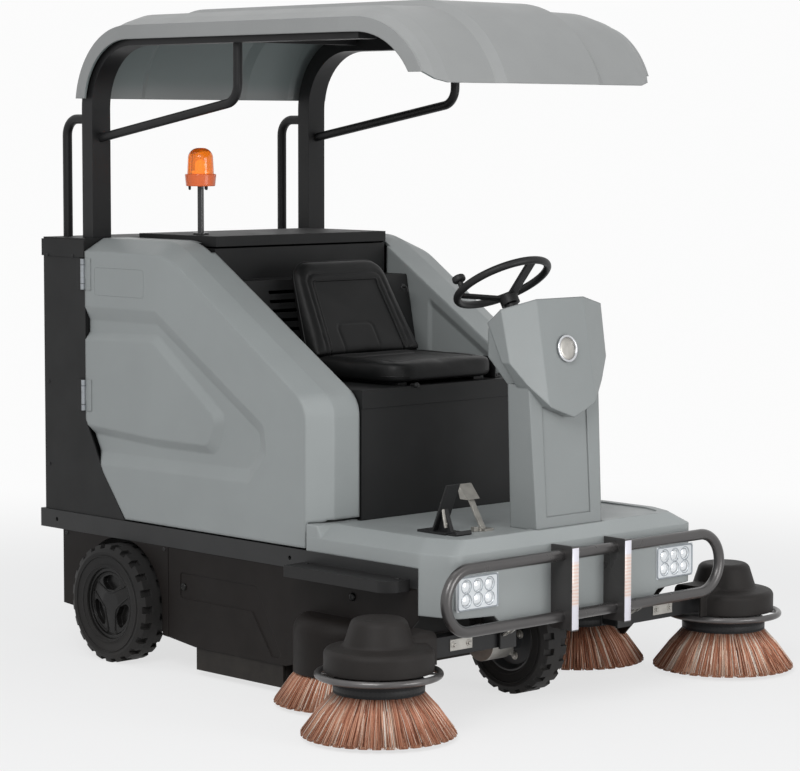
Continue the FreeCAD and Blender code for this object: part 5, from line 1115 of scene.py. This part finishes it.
def makeSeatFittings():
    # slotted side plate at the cushion's front corner, the knob below it and the hook on the wall
    x, front, rear, low = bracket["x"], bracket["front"], bracket["rear"], bracket["low"]
    step = low + bracket["thick"]
    parts = [bevelledBox((x, front, low), (x + bracket["thick"], rear, bracket["top"]), bracket["edge"]),
             bevelledBox((x, front, low), (x + bracket["foot"], rear, step), bracket["footEdge"])]
    for z in bracket["screwZs"]:
        parts += domeHead(Vector((x + bracket["thick"], bracket["screwY"], z)), leftward, bracket["head"])
    parts += boltHead(Vector((x + bracket["boltX"], bracket["boltY"], step)), upward, bracket["head"])
    parts.append(lathe(bracket["knob"], Vector(bracket["knobPlace"]), forward, 20))
    hook = [Vector((bracket["hookX"], y, z)) for y, z in bracket["hook"]]
    parts.append(loopTube(hook, bracket["hookWire"], 8, False))
    parts.append(lathe(bracket["rose"], Vector(bracket["rosePlace"]), forward, 20))
    addPiece("seatFittings", parts, "body", "plasticBlack", smooth=False)


pedalParts = {"bar": (-0.392, -0.732, 0.602), "barSize": (0.022, 0.004, 0.078), "lean": -14.0,
              "screwRise": 0.026, "screw": 0.008, "deck": 0.5455, "edge": 0.001,
              "plate": ((-0.412, -0.798), (-0.346, -0.748)), "plateThick": 0.0035, "lip": 0.014,
              "lipLean": -18.0, "pad": ((0.0, 0.007), (0.0006, 0.0068)),
              "block": ((-0.303, -0.768), (-0.286, -0.752)), "blockHeight": 0.014, "boltStep": (0.012, 0.004),
              "bolt": 0.009}


def makePedalFittings():
    # link bar before the accelerator, its base plate with an upturned lip, stop block and bolt by the brake
    centre = Vector(pedalParts["bar"])
    half = Vector(pedalParts["barSize"]) / 2
    deck, edge, thick = pedalParts["deck"], pedalParts["edge"], pedalParts["plateThick"]
    (left, front), (right, rear) = pedalParts["block"]
    boltSpot = Vector((right + pedalParts["boltStep"][0], front + pedalParts["boltStep"][1], deck))
    steel = [turned(bevelledBox(centre - half, centre + half, edge), centre, pedalParts["lean"]),
             bevelledBox((left, front, deck), (right, rear, deck + pedalParts["blockHeight"]), edge)]
    steel += boltHead(boltSpot, upward, pedalParts["bolt"])
    for height in (pedalParts["screwRise"], -pedalParts["screwRise"]):
        shift = height * math.sin(math.radians(-pedalParts["lean"]))
        steel += domeHead(centre + Vector((0, -half.y + shift, height)), forward, pedalParts["screw"])
    addPiece("pedalSteelParts", steel, "body", "pedalSteel", smooth=False)
    (left, front), (right, rear) = pedalParts["plate"]
    lipLow, lipHigh = (left, front - thick, deck + thick * 0.5), (right, front, deck + pedalParts["lip"])
    middle = Vector(((left + right) / 2, (front + rear) / 2, deck + thick))
    plates = [bevelledBox((left, front, deck), (right, rear, deck + thick), edge),
              turned(bevelledBox(lipLow, lipHigh, edge), Vector((0, front, deck)), pedalParts["lipLean"]),
              lathe(pedalParts["pad"], middle, upward, 20)]
    addPiece("pedalBasePlate", plates, "body", "plasticBlack", smooth=False)


beaconParts = {"x": -0.310, "y": 0.505, "foot": 1.606, "screwZ": 1.5655, "screws": 3, "screwTurn": 0.4,
               "screwRing": 0.036, "screw": ((0.0, 0.0045), (0.008, 0.0045), (0.013, 0.0030)),
               "bulb": ((0.0, 0.020), (0.008, 0.020), (0.010, 0.012), (0.030, 0.0125), (0.040, 0.010),
                        (0.046, 0.004))}


def makeBeaconParts():
    # bulb inside the dome, with a painted glow that lightens the dome, and three screws under the drum
    centre = Vector((beaconParts["x"], beaconParts["y"], 0))
    bulb = lathe(beaconParts["bulb"], centre + upward * beaconParts["foot"], upward, 32)
    addPiece("beaconLamp", [bulb], "cover", "beaconGlow")
    screws = []
    for k in range(beaconParts["screws"]):
        angle = math.tau * k / beaconParts["screws"] + beaconParts["screwTurn"]
        spot = centre + Vector((math.cos(angle), math.sin(angle), 0)) * beaconParts["screwRing"]
        screws.append(lathe(beaconParts["screw"], spot + upward * beaconParts["screwZ"], -upward, 10))
    addPiece("beaconScrews", screws, "cover", "plasticBlack", smooth=False)


podLine = {"x": 0.5702, "front": 0.485, "rear": 0.742, "low": 1.205, "top": 1.296, "radius": 0.010,
           "wire": 0.0004}


def makePodLines():
    # faint rectangle moulded near the top rear of each pod
    middle, half = (podLine["front"] + podLine["rear"]) / 2, (podLine["rear"] - podLine["front"]) / 2
    outline = roundedPlan(half, half, podLine["low"], podLine["top"], podLine["radius"], podLine["radius"], 4)
    for side, body, tag in ((1, "left_door", "Left"), (-1, "right_door", "Right")):
        points = [Vector((side * podLine["x"], middle + p.x, p.y)) for p in outline]
        addPiece("podPanelLine" + tag, [loopTube(points, podLine["wire"], 6)], body, "podGrey")


liner = {"inner": 0.5085, "outer": 0.5115, "front": 0.400, "rear": 0.826, "low": 0.300, "top": 0.503,
         "edge": 0.0008}


def makeArchLiners():
    # dark sheet inside each rear wheel arch, behind the tyre
    parts = mirroredBoxes((liner["inner"], liner["front"], liner["low"]),
                          (liner["outer"], liner["rear"], liner["top"]), liner["edge"])
    addPiece("archLiners", parts, "body", "flapBlack", smooth=False)


rimForm = {"pockets": 3, "cap": 0.609, "centre": (0, 0.610, 0.195), "inner": 0.036, "outer": 0.101,
           "innerTurn": 17.0, "outerTurn": 47.0, "wire": 0.0032, "lipOuter": 0.106, "lipInner": 0.040,
           "lipRise": 0.008, "beads": ((0.126, 0.6335), (0.158, 0.6345)), "beadWire": 0.0016}


def kidney(steps=9):
    # outline of (radius, angle) points round one pocket of the wheel cap
    inner, outer = rimForm["inner"], rimForm["outer"]
    low, high = math.radians(rimForm["innerTurn"]), math.radians(rimForm["outerTurn"])
    points = [(outer, -high + 2 * high * k / steps) for k in range(steps + 1)]
    side = [(outer * 0.90, high * 1.03), (inner + (outer - inner) * 0.45, high * 0.86),
            (inner * 1.15, low * 1.25),
            (inner, low * 0.4)]
    return points + side + [(radius, -angle) for radius, angle in reversed(side)]


def makeRimLips():
    # rounded lips round the three pockets and the sidewall beads of the rear wheels
    centre = Vector(rimForm["centre"])
    for side, body, tag in ((1, "rear_wheel_left", "Left"), (-1, "rear_wheel_right", "Right")):
        lips = []
        for pocket in range(rimForm["pockets"]):
            loop = []
            for radius, angle in kidney():
                total = angle + math.tau * pocket / rimForm["pockets"]
                share = (rimForm["lipOuter"] - radius) / (rimForm["lipOuter"] - rimForm["lipInner"])
                along = rimForm["cap"] + rimForm["lipRise"] * min(1.0, max(0.0, share))
                spoke = Vector((0, math.sin(total), math.cos(total))) * radius
                loop.append(centre + leftward * (side * along) + spoke)
            lips.append(loopTube(loop, rimForm["wire"], 8))
        addPiece("rimLips" + tag, lips, body, "rimBlack")
        axis = Vector((side, 0, 0))
        rings = [ringPoints(centre + axis * along, axis, sideOf(axis), radius, 72)
                 for radius, along in rimForm["beads"]]
        beads = [loopTube(ring, rimForm["beadWire"], 6) for ring in rings]
        addPiece("tyreBeads" + tag, beads, body, "tyreBlack")


hubForm = {"centre": (0, -0.655, 0.176), "face": 0.045, "nutRing": 0.062, "nuts": 5, "nut": 0.014,
           "beads": (0.112, 0.140), "beadX": 0.0515, "beadWire": 0.0014}


def makeFrontHub():
    # wheel nuts on both sides of the front rim, sidewall beads on its tyre
    nuts, beads = [], []
    centre = Vector(hubForm["centre"])
    for side in bothSides:
        axis = Vector((side, 0, 0))
        for k in range(hubForm["nuts"]):
            angle = math.tau * k / hubForm["nuts"]
            spoke = Vector((0, math.sin(angle), math.cos(angle))) * hubForm["nutRing"]
            nuts += boltHead(centre + axis * hubForm["face"] + spoke, axis, hubForm["nut"])
        for radius in hubForm["beads"]:
            ring = ringPoints(centre + axis * hubForm["beadX"], axis, sideOf(axis), radius, 60)
            beads.append(loopTube(ring, hubForm["beadWire"], 6))
    addPiece("frontWheelNuts", nuts, "front_wheel", "zincSteel", smooth=False)
    addPiece("frontTyreBeads", beads, "front_wheel", "tyreBlack")


makeTape()
makeHeadlampDomes()
makeBadge()
print("tape, lamps and badge place made")
makeFasteners()
makeHingeBarrels()
makeArmPlates()
makeDeckCorners()
makeSeatFittings()
makePedalFittings()
makeBeaconParts()
makePodLines()
makeArchLiners()
makeRimLips()
makeFrontHub()
print("fittings made")
